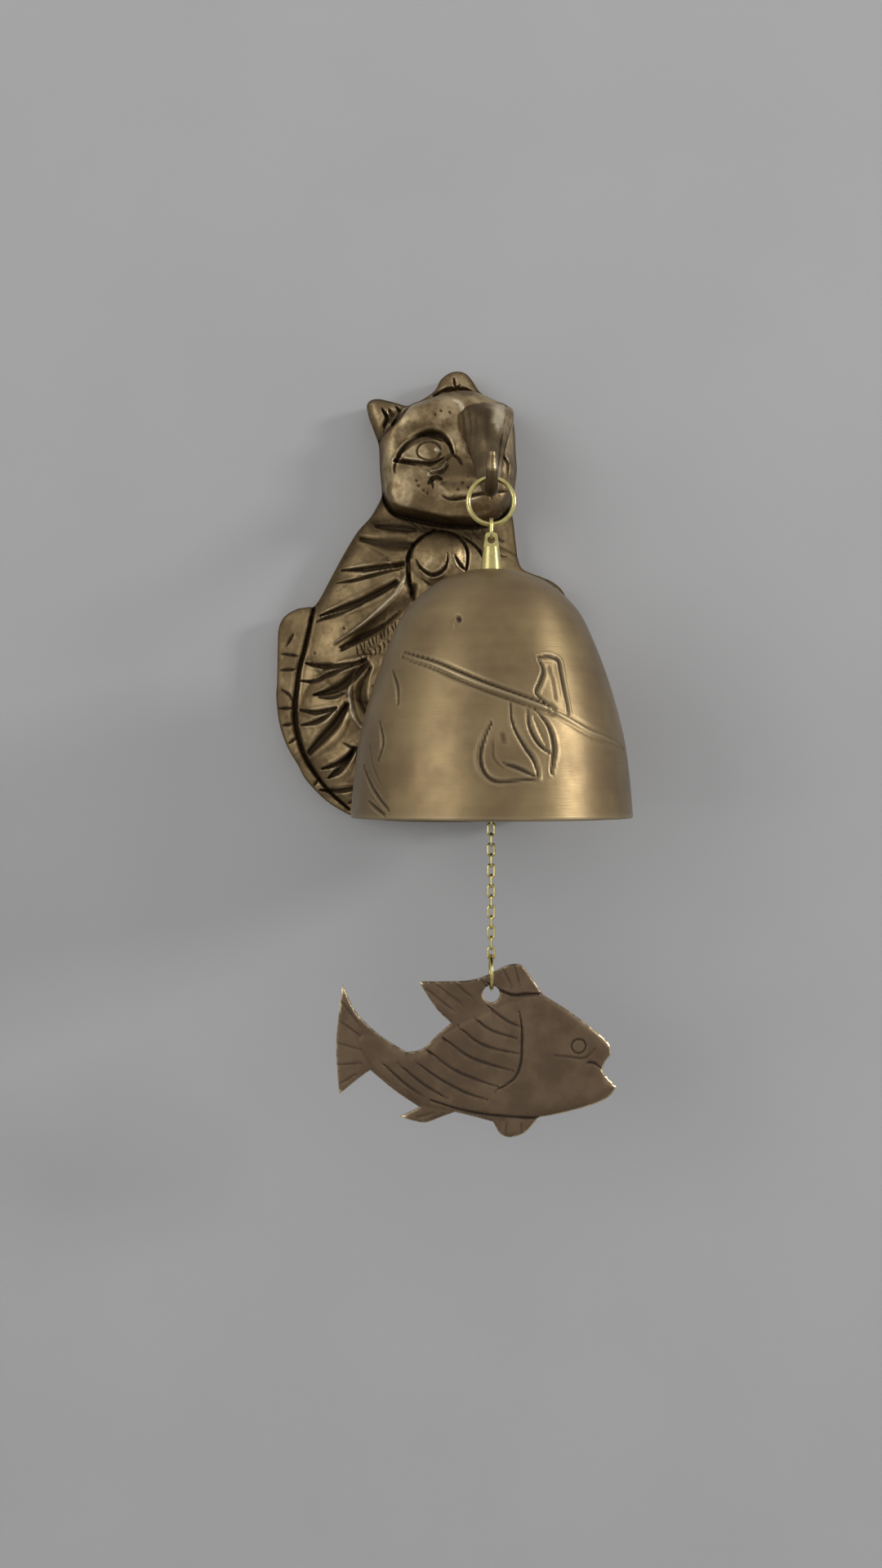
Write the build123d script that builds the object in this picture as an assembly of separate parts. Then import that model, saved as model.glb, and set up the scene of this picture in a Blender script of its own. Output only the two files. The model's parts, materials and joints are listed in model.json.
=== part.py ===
from build123d import *
import os
from math import atan2, cos, degrees, hypot, radians, sin, sqrt

# Wind bell for a wall. X runs to the right, Y into the wall and Z up, in millimetres.
# The wall is the plane Y = 0, and the origin is the mouth of the nail hole in the casting's back.

# Nail hole
NAIL_HOLE_RADIUS = 2.4
NAIL_HOLE_DEPTH = 6.0

# Cat casting
SLAB_THICKNESS = 4.8
SLAB_EDGE_RADIUS = 2.6
HEAD_RADIUS = 18.8
HEAD_RISE = 14.5
MUZZLE_RADIUS = 9.5
MUZZLE_RISE = 17.5
HAUNCH_RADIUS = 20.0
HAUNCH_RISE = 12.5
TORSO_LENGTH = 92.0
TORSO_WIDTH = 54.0
TORSO_RISE = 10.0
TORSO_LEAN = 14.0
PAW_RADIUS = 9.1
PAW_RISE = 13.5
FORELEG_RADIUS = 6.4
TAIL_RADIUS = 2.9
TAIL_CENTRE_DEPTH = 2.4
TAIL_BEND_RADIUS = 9.0
EAR_THICKNESS = 6.5
EAR_DRAFT = 14.0

# Hooked arm, cast with the cat's forehead
ARM_X = 11.0
ARM_REACH = 50.0
ARM_SEAT_Z = -21.2
ARM_SEAT_THICKNESS = 3.4
ARM_ROOT_WIDTH = 15.0
ARM_TIP_RISE = 7.6
ARM_TIP_LEAD = 5.2

# Gap between pieces that hang on each other, and a wire's gap in a drilled hole
HANG_GAP = 0.05

# Split ring over the arm
RING_OUTER_RADIUS = 6.15
RING_WIRE = 1.2
RING_OVERLAP_TURN = 0.42

# Link between the ring and the crown
BELL_LINK_LENGTH = 5.6
BELL_LINK_WIDTH = 4.0
BELL_LINK_WIRE = 0.9

# Crown stud
CROWN_HEIGHT = 9.4
CROWN_TOP_RADIUS = 1.5
CROWN_FOOT_RADIUS = 2.7
CROWN_FLAT_THICKNESS = 1.3
CROWN_FLAT_LENGTH = 3.6
CROWN_HOLE_RADIUS = 0.95
CROWN_HOLE_DROP = 1.75
SHANK_RADIUS = 1.6
SHANK_LENGTH = 9.0
TONGUE_THICKNESS = 1.2
TONGUE_LENGTH = 3.2
TONGUE_HOLE_RADIUS = 0.8
TONGUE_HOLE_RISE = 1.3

# Bell
BELL_HEIGHT = 59.5
BELL_RIM_RADIUS = 34.0
BELL_WALL = 1.9
BELL_HOLE_CLEARANCE = 0.1
BELL_SEAT_RADIUS = 4.2

# Nut under the bell's crown
NUT_ACROSS_FLATS = 6.0
NUT_THICKNESS = 2.4

# Clapper on its rod
ROD_WIRE = 1.0
ROD_EYE_RADIUS = 1.9
ROD_LENGTH = 48.6
CLAPPER_RADIUS = 6.5
CLAPPER_RISE = 11.5

# Chain
CHAIN_LINKS = 14
CHAIN_PITCH = 2.5
CHAIN_WIRE = 0.55
CHAIN_LINK_WIDTH = 2.1
CHAIN_WIRE_SIDES = 8

# Ring through the fish
FISH_RING_OUTER_RADIUS = 4.4
FISH_RING_WIRE = 1.0

# Fish
FISH_FIN_THICKNESS = 1.5
FISH_BODY_THICKNESS = 2.4
FISH_HOLE_RADIUS = 2.1
FISH_PHOTO_SCALE = 5.052

os.makedirs("parts", exist_ok=True)


def dome(x, z, radius, rise):
    """A round swelling on the wall: a cap where it is low, a ball on a round boss where it is high."""
    if rise <= radius:
        ball = (radius**2 + rise**2) / (2 * rise)
        return Pos(x, ball - rise, z) * Sphere(ball)
    boss = Pos(x, (radius - rise) / 2, z) * Rot(90, 0, 0) * Cylinder(radius, rise - radius)
    return boss + Pos(x, radius - rise, z) * Sphere(radius)


def egg(x, z, length, width, rise, lean):
    """A long egg lying on the wall, round about its own length, leaning by `lean` degrees."""
    long, short = length / 2, width / 2
    outline = EllipticalCenterArc((0, 0), short, long, start_angle=-90, arc_size=180) + Line((0, -long), (0, long))
    solid = Rot(90, 0, 0) * revolve(make_face(outline), Axis.Y)
    return Pos(x, short - rise, z) * Rot(0, lean, 0) * solid


def limb(start, end, radius):
    """A round limb between two points, with round ends."""
    path = Line(start, end)
    rod = sweep(Plane(path @ 0, z_dir=path % 0) * Circle(radius), path)
    return rod + Pos(*start) * Sphere(radius) + Pos(*end) * Sphere(radius)


def slab(points, thickness, edge_radius):
    """A plate on the wall with a curved outline and a rounded front edge."""
    face = Plane.XZ * make_face(Spline(*points, periodic=True))
    plate = extrude(face, thickness)
    return fillet(plate.edges().group_by(Axis.Y)[0], edge_radius)


def ear(points, thickness, draft):
    """A three-cornered ear with a blunt tip."""
    face = Plane.XZ * make_face(Polyline(*points, close=True))
    return extrude(face, thickness, taper=draft)


def tail():
    """The tail: down the cat's back and round its feet."""
    route = [
        (-39.0, -43.0),
        (-43.6, -50.5),
        (-44.3, -62.0),
        (-44.6, -73.0),
        (-42.0, -84.0),
        (-36.0, -94.0),
        (-26.0, -100.5),
        (-12.0, -103.2),
        (6.0, -103.6),
    ]
    path = FilletPolyline(*[(x, -TAIL_CENTRE_DEPTH, z) for x, z in route], radius=TAIL_BEND_RADIUS)
    tube = sweep(Plane(path @ 0, z_dir=path % 0) * Circle(TAIL_RADIUS), path)
    ends = [Pos(*tuple(path @ end)) * Sphere(TAIL_RADIUS) for end in (0, 1)]
    return tube + ends[0] + ends[1]


def arm():
    """The arm: out of the forehead, down to the ring's seat and up to its tip."""
    seat_y, seat_z = -ARM_REACH, ARM_SEAT_Z
    tip_y, tip_z = seat_y - ARM_TIP_LEAD, seat_z + ARM_TIP_RISE
    thick = ARM_SEAT_THICKNESS
    # Each station: Y, Z, slope of the arm in degrees, width along X, thickness
    stations = [
        (-8.0, 6.4, 62.0, ARM_ROOT_WIDTH, 7.0),
        (-16.5, 3.2, 38.0, ARM_ROOT_WIDTH * 0.93, 6.0),
        (-26.0, -5.0, 46.0, ARM_ROOT_WIDTH * 0.72, 4.9),
        (-35.5, -14.0, 38.0, ARM_ROOT_WIDTH * 0.46, 4.2),
        (seat_y + 6.5, seat_z + 1.7, 24.0, thick + 0.8, thick + 0.4),
        (seat_y, seat_z, 0.0, thick, thick),
        (seat_y - 3.6, seat_z + 1.9, -52.0, thick - 0.5, thick - 0.5),
        (tip_y, tip_z, -80.0, 1.6, 1.6),
    ]
    sections = []
    for y, z, slope, width, height in stations:
        along = (0, -cos(radians(slope)), -sin(radians(slope)))
        plane = Plane(origin=(ARM_X, y, z), x_dir=(1, 0, 0), z_dir=along)
        sections.append(plane * RectangleRounded(width, height, 0.47 * min(width, height)))
    return loft(sections) + Pos(ARM_X, tip_y, tip_z) * Sphere(0.78)


def cat_plaque():
    """The whole casting: cat, tail and arm, with a flat back and a nail hole."""
    body_outline = [
        (-19.5, -14.0),
        (-20.8, -20.5),
        (-26.8, -29.0),
        (-33.5, -38.5),
        (-38.5, -50.0),
        (-41.5, -62.0),
        (-42.0, -74.0),
        (-39.5, -85.0),
        (-31.0, -97.0),
        (-16.0, -104.0),
        (6.0, -105.6),
        (24.0, -105.2),
        (32.5, -101.0),
        (31.5, -88.0),
        (31.0, -68.0),
        (34.8, -50.0),
        (33.6, -41.0),
        (28.0, -35.8),
        (21.6, -30.0),
        (20.2, -16.0),
        (12.0, -8.0),
        (-8.0, -8.0),
    ]
    near_ear = [(-21.9, 14.0), (-19.8, 14.3), (-7.5, 10.5), (-12.0, 2.0), (-19.6, -1.0)]
    far_ear = [(-5.5, 12.0), (-1.4, 20.2), (1.6, 22.3), (4.6, 22.3), (8.0, 20.0), (13.4, 12.0), (4.0, 6.0)]
    solid = slab(body_outline, SLAB_THICKNESS, SLAB_EDGE_RADIUS)
    pieces = [
        dome(0.3, -1.6, HEAD_RADIUS, HEAD_RISE),
        dome(9.0, -11.8, MUZZLE_RADIUS, MUZZLE_RISE),
        ear(near_ear, EAR_THICKNESS + 2.5, EAR_DRAFT),
        ear(far_ear, EAR_THICKNESS, EAR_DRAFT),
        egg(-6.0, -60.0, TORSO_LENGTH, TORSO_WIDTH, TORSO_RISE, TORSO_LEAN),
        dome(-19.5, -80.5, HAUNCH_RADIUS, HAUNCH_RISE),
        limb((24.0, -3.5, -52.0), (24.5, -3.5, -98.5), FORELEG_RADIUS),
        limb((2.0, -3.0, -37.0), (27.0, -2.0, -43.5), FORELEG_RADIUS + 0.6),
        dome(0.0, -32.8, PAW_RADIUS, PAW_RISE),
        tail(),
        arm(),
    ]
    wall = Pos(0, 100, -50) * Box(200, 200, 300)
    for piece in pieces:
        solid += piece - wall
    hole = Rot(90, 0, 0) * Cylinder(NAIL_HOLE_RADIUS, 2 * NAIL_HOLE_DEPTH)
    return solid - hole


def stadium_link(length, width, wire, across="Y", sides=0):
    """A link of wire hanging along Z, its outside `length` by `width`, lying in XZ or across it."""
    radius = wire / 2
    half_width = width / 2 - radius
    straight = length - width
    top, low = straight / 2, -straight / 2
    path = Wire(
        [
            Line((half_width, 0, low), (half_width, 0, top)),
            ThreePointArc((half_width, 0, top), (0, 0, top + half_width), (-half_width, 0, top)),
            Line((-half_width, 0, top), (-half_width, 0, low)),
            ThreePointArc((-half_width, 0, low), (0, 0, low - half_width), (half_width, 0, low)),
        ]
    )
    plane = Plane(origin=(half_width, 0, low), x_dir=(1, 0, 0), z_dir=(0, 0, 1))
    section = RegularPolygon(radius, sides) if sides else Circle(radius)
    link = sweep(plane * section, path)
    return Rot(0, 0, 90) * link if across == "X" else link


def round_ring(outer_radius, wire):
    """A ring of round wire in the XZ plane."""
    return Rot(90, 0, 0) * Torus(outer_radius - wire / 2, wire / 2)


def split_ring(outer_radius, wire):
    """A ring of two flat turns that lie against each other along Y, as a key ring's do."""
    turn = Rot(90, 0, 0) * Torus(outer_radius - wire / 2, wire / 2)
    groove_radius = RING_OVERLAP_TURN * wire / 2
    groove = Rot(90, 0, 0) * Torus(outer_radius, groove_radius)
    return turn - groove


def offset_inward(points, distance):
    """Points moved square to the curve that they lie on, towards its inside."""
    moved = []
    last = len(points) - 1
    for i, (r, z) in enumerate(points):
        before, after = points[max(i - 1, 0)], points[min(i + 1, last)]
        along_r, along_z = after[0] - before[0], after[1] - before[1]
        size = hypot(along_r, along_z)
        moved.append((r + distance * along_z / size, z - distance * along_r / size))
    return moved


def bell_profile():
    """Radius and height of the bell's outside, from the crown down to the rim."""
    shares = [
        (0.085, 1.0),
        (0.26, 0.983),
        (0.435, 0.933),
        (0.606, 0.84),
        (0.72, 0.717),
        (0.838, 0.534),
        (0.932, 0.333),
        (0.974, 0.167),
        (1.0, 0.0),
    ]
    return [(BELL_RIM_RADIUS * r, BELL_HEIGHT * h) for r, h in shares]


def bell():
    """The bell, its rim at Z = 0 and its axis on Z."""
    outer = bell_profile()
    inner = offset_inward(outer, BELL_WALL)
    inner[-1] = (inner[-1][0], 0.0)
    hole = SHANK_RADIUS + BELL_HOLE_CLEARANCE
    outer[0] = (BELL_SEAT_RADIUS, BELL_HEIGHT)
    inner[0] = (BELL_SEAT_RADIUS, BELL_HEIGHT - BELL_WALL)
    outside = Spline(*outer, tangents=[(1, 0), (0.1, -1)])
    inside = Spline(*reversed(inner), tangents=[(-0.1, 1), (-1, 0)])
    top, under = (hole, BELL_HEIGHT), (hole, BELL_HEIGHT - BELL_WALL)
    edges = [
        outside,
        Line(outside @ 1, inside @ 0),
        inside,
        Line(inside @ 1, under),
        Line(under, top),
        Line(top, outside @ 0),
    ]
    return revolve(Plane.XZ * make_face(edges), Axis.Z)


def bell_crown():
    """The crown stud, its foot on Z = 0: a flattened cone above, a shank with a drilled tongue below."""
    cone = Pos(0, 0, CROWN_HEIGHT / 2) * Cone(CROWN_FOOT_RADIUS, CROWN_TOP_RADIUS, CROWN_HEIGHT)
    cone = fillet(cone.edges().group_by(Axis.Z)[-1], 0.45 * CROWN_TOP_RADIUS)
    flat_width = CROWN_FOOT_RADIUS
    for side in (1, -1):
        cut = Box(4 * CROWN_FOOT_RADIUS, flat_width, 2 * CROWN_FLAT_LENGTH)
        cone -= Pos(0, side * (CROWN_FLAT_THICKNESS / 2 + flat_width / 2), CROWN_HEIGHT) * cut
    hole = Rot(90, 0, 0) * Cylinder(CROWN_HOLE_RADIUS, 4 * CROWN_FOOT_RADIUS)
    cone -= Pos(0, 0, CROWN_HEIGHT - CROWN_HOLE_DROP) * hole
    shank = Pos(0, 0, -SHANK_LENGTH / 2) * Cylinder(SHANK_RADIUS, SHANK_LENGTH)
    for side in (1, -1):
        cut = Box(4 * SHANK_RADIUS, 2 * SHANK_RADIUS, 2 * TONGUE_LENGTH)
        shank -= Pos(0, side * (TONGUE_THICKNESS / 2 + SHANK_RADIUS), -SHANK_LENGTH) * cut
    hole = Rot(90, 0, 0) * Cylinder(TONGUE_HOLE_RADIUS, 4 * SHANK_RADIUS)
    shank -= Pos(0, 0, TONGUE_HOLE_RISE - SHANK_LENGTH) * hole
    return cone + shank


def crown_nut():
    """A hexagon nut, its upper face on Z = 0."""
    nut = extrude(RegularPolygon(NUT_ACROSS_FLATS / 2, 6, major_radius=False), -NUT_THICKNESS)
    return nut - Cylinder(SHANK_RADIUS, 4 * NUT_THICKNESS)


def clapper_rod():
    """The clapper's rod, its upper eye's centre on the origin: a closed eye at each end of a straight wire."""
    eye = round_ring(ROD_EYE_RADIUS, ROD_WIRE)
    top_eye = Rot(0, 0, 90) * eye
    low_eye = Pos(0, 0, -ROD_LENGTH) * eye
    reach = ROD_EYE_RADIUS - ROD_WIRE / 2
    wire = Pos(0, 0, -ROD_LENGTH / 2) * Cylinder(ROD_WIRE / 2, ROD_LENGTH - 2 * reach)
    return top_eye + wire + low_eye


def fish_point(px, py):
    """A place on the fish as the photograph shows it, from the hole's centre."""
    hole_px, hole_py = 675.0, 1207.0
    return ((px - hole_px) / FISH_PHOTO_SCALE, (hole_py - py) / FISH_PHOTO_SCALE)


def fish():
    """The fish, its hole's centre on the origin, hanging level as its weight makes it."""
    dorsal_fin = [(727, 1171), (700, 1161), (684, 1157), (671, 1167), (658, 1191), (640, 1212), (594, 1246)]
    head = [(727, 1171), (765, 1169), (804, 1170), (827, 1173), (837, 1183)]
    jaw = [(838, 1204), (850, 1208), (866, 1211)]
    belly = [(866, 1211), (864, 1229), (848, 1254), (824, 1282), (810, 1296)]
    ventral_fin = [(810, 1296), (807, 1320), (797, 1335), (783, 1340), (767, 1333)]
    under = [(767, 1333), (745, 1341), (722, 1350)]
    anal_fin = [(722, 1350), (711, 1366), (698, 1383), (671, 1394)]
    stem_low = [(684, 1370), (647, 1371), (608, 1368)]
    tail_low = [(608, 1368), (602, 1385), (594, 1414)]
    tail_rear = [(594, 1414), (577, 1394), (557, 1368), (541, 1342), (520, 1303)]
    tail_top = [(520, 1303), (548, 1319), (572, 1325), (600, 1327), (632, 1325)]
    back = [(632, 1325), (645, 1311), (650, 1287), (656, 1264)]
    fin_low = [(656, 1264), (630, 1260), (594, 1246)]
    curves = [
        Spline(*[fish_point(*p) for p in points])
        for points in (
            dorsal_fin,
            head,
            jaw,
            belly,
            ventral_fin,
            under,
            anal_fin,
            stem_low,
            tail_low,
            tail_rear,
            tail_top,
            back,
            fin_low,
        )
    ]
    mouth = Line(fish_point(837, 1183), fish_point(838, 1204))
    notch = Line(fish_point(671, 1394), fish_point(684, 1370))
    plate = make_face(curves + [mouth, notch])
    body_line = [
        (727, 1173),
        (765, 1171),
        (804, 1172),
        (826, 1176),
        (835, 1190),
        (848, 1211),
        (862, 1214),
        (846, 1251),
        (810, 1293),
        (767, 1328),
        (722, 1348),
        (680, 1366),
        (640, 1366),
        (602, 1362),
        (575, 1345),
        (590, 1331),
        (632, 1328),
        (650, 1310),
        (655, 1287),
        (668, 1255),
        (684, 1228),
        (705, 1195),
    ]
    body = make_face(Spline(*[fish_point(*p) for p in body_line], periodic=True)) & plate
    fins = extrude(plate, FISH_FIN_THICKNESS / 2, both=True)
    solid = fins + extrude(body, FISH_BODY_THICKNESS / 2, both=True)
    solid -= Cylinder(FISH_HOLE_RADIUS, 4 * FISH_BODY_THICKNESS)
    middle = solid.center(CenterOf.MASS)
    level = -90 - degrees(atan2(middle.Y, middle.X))
    return Rot(90, 0, 0) * Rot(0, 0, level) * solid


def drop_in_hole(hole_radius, wire, bend_radius, thickness):
    """How far a hole's centre hangs under the bent wire that carries it, through `thickness` of metal."""
    rise = bend_radius - sqrt(bend_radius**2 - (thickness / 2) ** 2)
    return hole_radius - wire / 2 - rise - HANG_GAP


# Heights at which the pieces hang, each from the one above it
seat_top = ARM_SEAT_Z + ARM_SEAT_THICKNESS / 2
ring_z = seat_top + HANG_GAP + RING_WIRE - RING_OUTER_RADIUS
ring_low_wire = ring_z - RING_OUTER_RADIUS + RING_WIRE / 2
link_top_wire = ring_low_wire + RING_WIRE / 2 + HANG_GAP + BELL_LINK_WIRE / 2
link_z = link_top_wire + BELL_LINK_WIRE / 2 - BELL_LINK_LENGTH / 2
link_low_wire = link_z - BELL_LINK_LENGTH / 2 + BELL_LINK_WIRE / 2
link_bend = (BELL_LINK_WIDTH - BELL_LINK_WIRE) / 2
crown_hole_z = link_low_wire - drop_in_hole(CROWN_HOLE_RADIUS, BELL_LINK_WIRE, link_bend, CROWN_FLAT_THICKNESS)
crown_foot_z = crown_hole_z + CROWN_HOLE_DROP - CROWN_HEIGHT
bell_rim_z = crown_foot_z - BELL_HEIGHT
tongue_hole_z = crown_foot_z - SHANK_LENGTH + TONGUE_HOLE_RISE
eye_bend = ROD_EYE_RADIUS - ROD_WIRE / 2
rod_top_wire = tongue_hole_z - drop_in_hole(TONGUE_HOLE_RADIUS, ROD_WIRE, eye_bend, TONGUE_THICKNESS)
rod_z = rod_top_wire + ROD_WIRE / 2 - ROD_EYE_RADIUS
rod_low_wire = rod_z - ROD_LENGTH - ROD_EYE_RADIUS + ROD_WIRE / 2
clapper_z = bell_rim_z + CLAPPER_RISE
chain_link_length = CHAIN_PITCH + 2 * CHAIN_WIRE + HANG_GAP
chain_top_wire = rod_low_wire + ROD_WIRE / 2 + CHAIN_WIRE / 2 + HANG_GAP
first_link_z = chain_top_wire + CHAIN_WIRE / 2 - chain_link_length / 2
last_low_wire = first_link_z - (CHAIN_LINKS - 1) * CHAIN_PITCH - chain_link_length / 2 + CHAIN_WIRE / 2
fish_ring_top_wire = last_low_wire + CHAIN_WIRE / 2 + FISH_RING_WIRE / 2 + HANG_GAP
fish_ring_z = fish_ring_top_wire + FISH_RING_WIRE / 2 - FISH_RING_OUTER_RADIUS
fish_ring_low_wire = fish_ring_z - FISH_RING_OUTER_RADIUS + FISH_RING_WIRE / 2
ring_bend = FISH_RING_OUTER_RADIUS - FISH_RING_WIRE / 2
fish_z = fish_ring_low_wire - drop_in_hole(FISH_HOLE_RADIUS, FISH_RING_WIRE, ring_bend, FISH_BODY_THICKNESS)


def hang(solid, z):
    """A piece at its height under the arm's seat."""
    return Pos(ARM_X, -ARM_REACH, z) * solid


pieces = {
    "cat_plaque": cat_plaque(),
    "hook_ring": hang(split_ring(RING_OUTER_RADIUS, RING_WIRE), ring_z),
    "bell_link": hang(stadium_link(BELL_LINK_LENGTH, BELL_LINK_WIDTH, BELL_LINK_WIRE, across="X"), link_z),
    "bell_crown": hang(bell_crown(), crown_foot_z),
    "bell": hang(bell(), bell_rim_z),
    "crown_nut": hang(crown_nut(), crown_foot_z - BELL_WALL),
    "clapper_rod": hang(clapper_rod(), rod_z),
    "clapper": hang(Sphere(CLAPPER_RADIUS) - Cylinder(ROD_WIRE / 2, 4 * CLAPPER_RADIUS), clapper_z),
    "fish_ring": hang(Rot(0, 0, 90) * round_ring(FISH_RING_OUTER_RADIUS, FISH_RING_WIRE), fish_ring_z),
    "fish": hang(fish(), fish_z),
}
for number in range(CHAIN_LINKS):
    across = "X" if number % 2 == 0 else "Y"
    link = stadium_link(chain_link_length, CHAIN_LINK_WIDTH, CHAIN_WIRE, across, CHAIN_WIRE_SIDES)
    pieces[f"chain_link_{number + 1:02d}"] = hang(link, first_link_z - number * CHAIN_PITCH)

for node, solid in pieces.items():
    export_step(solid, f"parts/{node}.step")

# Places of the swings, for the record
places = {
    "seat_z": ARM_SEAT_Z,
    "ring_low_wire": ring_low_wire,
    "link_low_wire": link_low_wire,
    "rod_top_wire": rod_top_wire,
    "rod_low_wire": rod_low_wire,
    "first_link_z": first_link_z,
    "last_low_wire": last_low_wire,
    "fish_ring_low_wire": fish_ring_low_wire,
    "bell_rim_z": bell_rim_z,
    "clapper_z": clapper_z,
    "fish_z": fish_z,
}
for name, height in places.items():
    print(name, round(height, 3))
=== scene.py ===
"""A wall-hung wind bell: a cast seated cat that carries a brass bell, its chain and a fish."""

from __future__ import annotations

import json
import logging
import math
from dataclasses import dataclass, field
from enum import Enum
from typing import Any, Callable, Iterable, Sequence

import bmesh
import bpy
import numpy as np
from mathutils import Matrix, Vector, noise
from mathutils.geometry import delaunay_2d_cdt

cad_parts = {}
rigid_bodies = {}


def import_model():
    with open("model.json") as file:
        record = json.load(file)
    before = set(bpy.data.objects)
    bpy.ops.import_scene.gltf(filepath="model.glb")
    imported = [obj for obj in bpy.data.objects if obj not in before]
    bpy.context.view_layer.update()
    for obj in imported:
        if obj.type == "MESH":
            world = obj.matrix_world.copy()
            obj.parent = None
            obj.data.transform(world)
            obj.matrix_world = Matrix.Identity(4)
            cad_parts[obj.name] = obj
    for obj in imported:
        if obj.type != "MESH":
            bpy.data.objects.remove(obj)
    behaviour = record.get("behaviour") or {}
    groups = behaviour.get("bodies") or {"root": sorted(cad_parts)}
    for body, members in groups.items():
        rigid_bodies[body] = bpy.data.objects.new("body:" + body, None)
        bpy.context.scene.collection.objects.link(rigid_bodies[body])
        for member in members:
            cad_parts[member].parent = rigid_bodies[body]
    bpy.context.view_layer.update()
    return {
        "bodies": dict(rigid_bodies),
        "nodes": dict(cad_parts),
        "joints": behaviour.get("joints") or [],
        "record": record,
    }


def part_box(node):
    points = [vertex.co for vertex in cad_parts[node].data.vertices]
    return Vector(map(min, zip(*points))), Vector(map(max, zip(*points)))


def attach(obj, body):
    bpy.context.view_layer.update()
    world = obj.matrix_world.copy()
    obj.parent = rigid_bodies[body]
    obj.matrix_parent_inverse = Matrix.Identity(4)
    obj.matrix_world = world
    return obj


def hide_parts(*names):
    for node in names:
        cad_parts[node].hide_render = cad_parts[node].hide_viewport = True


log = logging.getLogger("wind_bell")

MM = 0.001
Pair = tuple[float, float]
Triple = tuple[float, float, float]
Route = tuple[Pair, ...]
Colour = Triple
Chooser = Callable[[np.ndarray], np.ndarray]
Surface = tuple[np.ndarray, list[list[int]]]

# A lattice's row spacing and its distance from the outline, as shares of its gap
ROW_SHARE, CLEAR_SHARE = 0.866, 0.55
# Twice the area, in square millimetres, under which a triangle along an outline is only a sliver
SLIVER = 0.004
# How far a mark is looked for, where its lip is highest and how far that spreads, in the mark's widths
MARK_REACH, LIP_AT, LIP_SPREAD = 2.3, 1.5, 0.7
# The shares of a mark's length between which it has its full width
FULL_FROM, FULL_TO = 0.35, 0.65


class Trace(Enum):
    """The marks that the shapes leave on a surface for its finish to read."""

    # The first trace holds grime and, on the cast cat, painted shade; the crest trace holds worn crests and,
    # on the cast cat, painted highlights.
    STAIN_AND_SHADE = "stain"
    HOLLOW = "hollow"
    CREST = "crest"


# Lines and distances in the plane of a face, in millimetres


def curve_through(route: Sequence[Pair] | np.ndarray, steps: int = 6, closed: bool = False) -> np.ndarray:
    """A smooth line through points.

    Args:
        route: the points.
        steps: how many pieces each run is divided into.
        closed: whether the line comes back to its first point.

    Returns:
        The points of the smooth line.
    """
    points = np.asarray(route, float)
    if closed:
        frame = np.vstack([points[-1:], points, points[:2]])
    else:
        frame = np.vstack([2 * points[:1] - points[1:2], points, 2 * points[-1:] - points[-2:-1]])
    t = np.linspace(0, 1, steps, endpoint=False)[:, None]
    runs = []
    for a, b, c, d in zip(frame[:-3], frame[1:-2], frame[2:-1], frame[3:]):
        cubic = (3 * b - a - 3 * c + d) * t**3
        runs.append(0.5 * (2 * b + (c - a) * t + (2 * a - 5 * b + 4 * c - d) * t**2 + cubic))
    if not closed:
        runs.append(points[-1:])
    return np.vstack(runs)


def evenly(line: np.ndarray, gap: float, closed: bool = False) -> np.ndarray:
    """The same line with its points spaced evenly, about `gap` apart."""
    loop = np.vstack([line, line[:1]]) if closed else line
    lengths = np.r_[0, np.cumsum(np.hypot(*np.diff(loop, axis=0).T))]
    count = max(int(round(lengths[-1] / gap)), 2)
    at = np.linspace(0, lengths[-1], count if closed else count + 1, endpoint=not closed)
    return np.stack([np.interp(at, lengths, loop[:, i]) for i in (0, 1)], axis=1)


def reach_of(points: np.ndarray, line: np.ndarray, closed: bool = False) -> tuple[np.ndarray, np.ndarray]:
    """How far each point is from a line.

    Args:
        points: the points, one a row.
        line: the line's points.
        closed: whether its last point joins its first.

    Returns:
        The distances, and where along the line the nearest place is, from 0 to 1.
    """
    ends = np.vstack([line, line[:1]]) if closed else line
    best = np.full(len(points), np.inf)
    along = np.zeros(len(points))
    runs = len(ends) - 1
    for i in range(runs):
        start, run = ends[i], ends[i + 1] - ends[i]
        t = np.clip((points - start) @ run / max(run @ run, 1e-12), 0, 1)
        far = np.hypot(points[:, 0] - start[0] - t * run[0], points[:, 1] - start[1] - t * run[1])
        near = far < best
        best[near] = far[near]
        along[near] = (i + t[near]) / runs
    return best, along


def inside(points: np.ndarray, outline: np.ndarray) -> np.ndarray:
    """Which points lie inside a closed outline."""
    within = np.zeros(len(points), bool)
    for (x0, y0), (x1, y1) in zip(outline, np.roll(outline, -1, axis=0)):
        if y0 == y1:
            continue
        spans = (points[:, 1] > y0) != (points[:, 1] > y1)
        within ^= spans & (points[:, 0] < x0 + (points[:, 1] - y0) * (x1 - x0) / (y1 - y0))
    return within


def region(points: np.ndarray, route: Route) -> tuple[np.ndarray, np.ndarray]:
    """How far some places are from a smooth closed outline, and which of them lie in it."""
    line = evenly(curve_through(route, closed=True), 0.7, True)
    return reach_of(points, line, True)[0], inside(points, line)


def circle(radius: float, count: int) -> np.ndarray:
    """Points evenly round a circle about the origin."""
    turns = np.linspace(0, 2 * math.pi, count, endpoint=False)
    return radius * np.stack([np.cos(turns), np.sin(turns)], axis=1)


def faded(far: np.ndarray, reach: float, start: float = 1.0) -> np.ndarray:
    """A share that falls from `start` by 1 for each `reach` of distance, kept between 0 and 1."""
    return np.clip(start - far / reach, 0, 1)


def ramp(values: np.ndarray, start: float, run: float) -> np.ndarray:
    """A share that climbs from 0 at `start` to 1 over `run`, or the other way where `run` is negative."""
    return np.clip((values - start) / run, 0, 1)


def rounded(far: np.ndarray, reach: float | np.ndarray, rise: float) -> np.ndarray:
    """A rounded shoulder that climbs to `rise` over the distance `reach`."""
    short = 1 - np.clip(far / reach, 0, 1)
    return rise * np.sqrt(1 - short * short)


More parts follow.
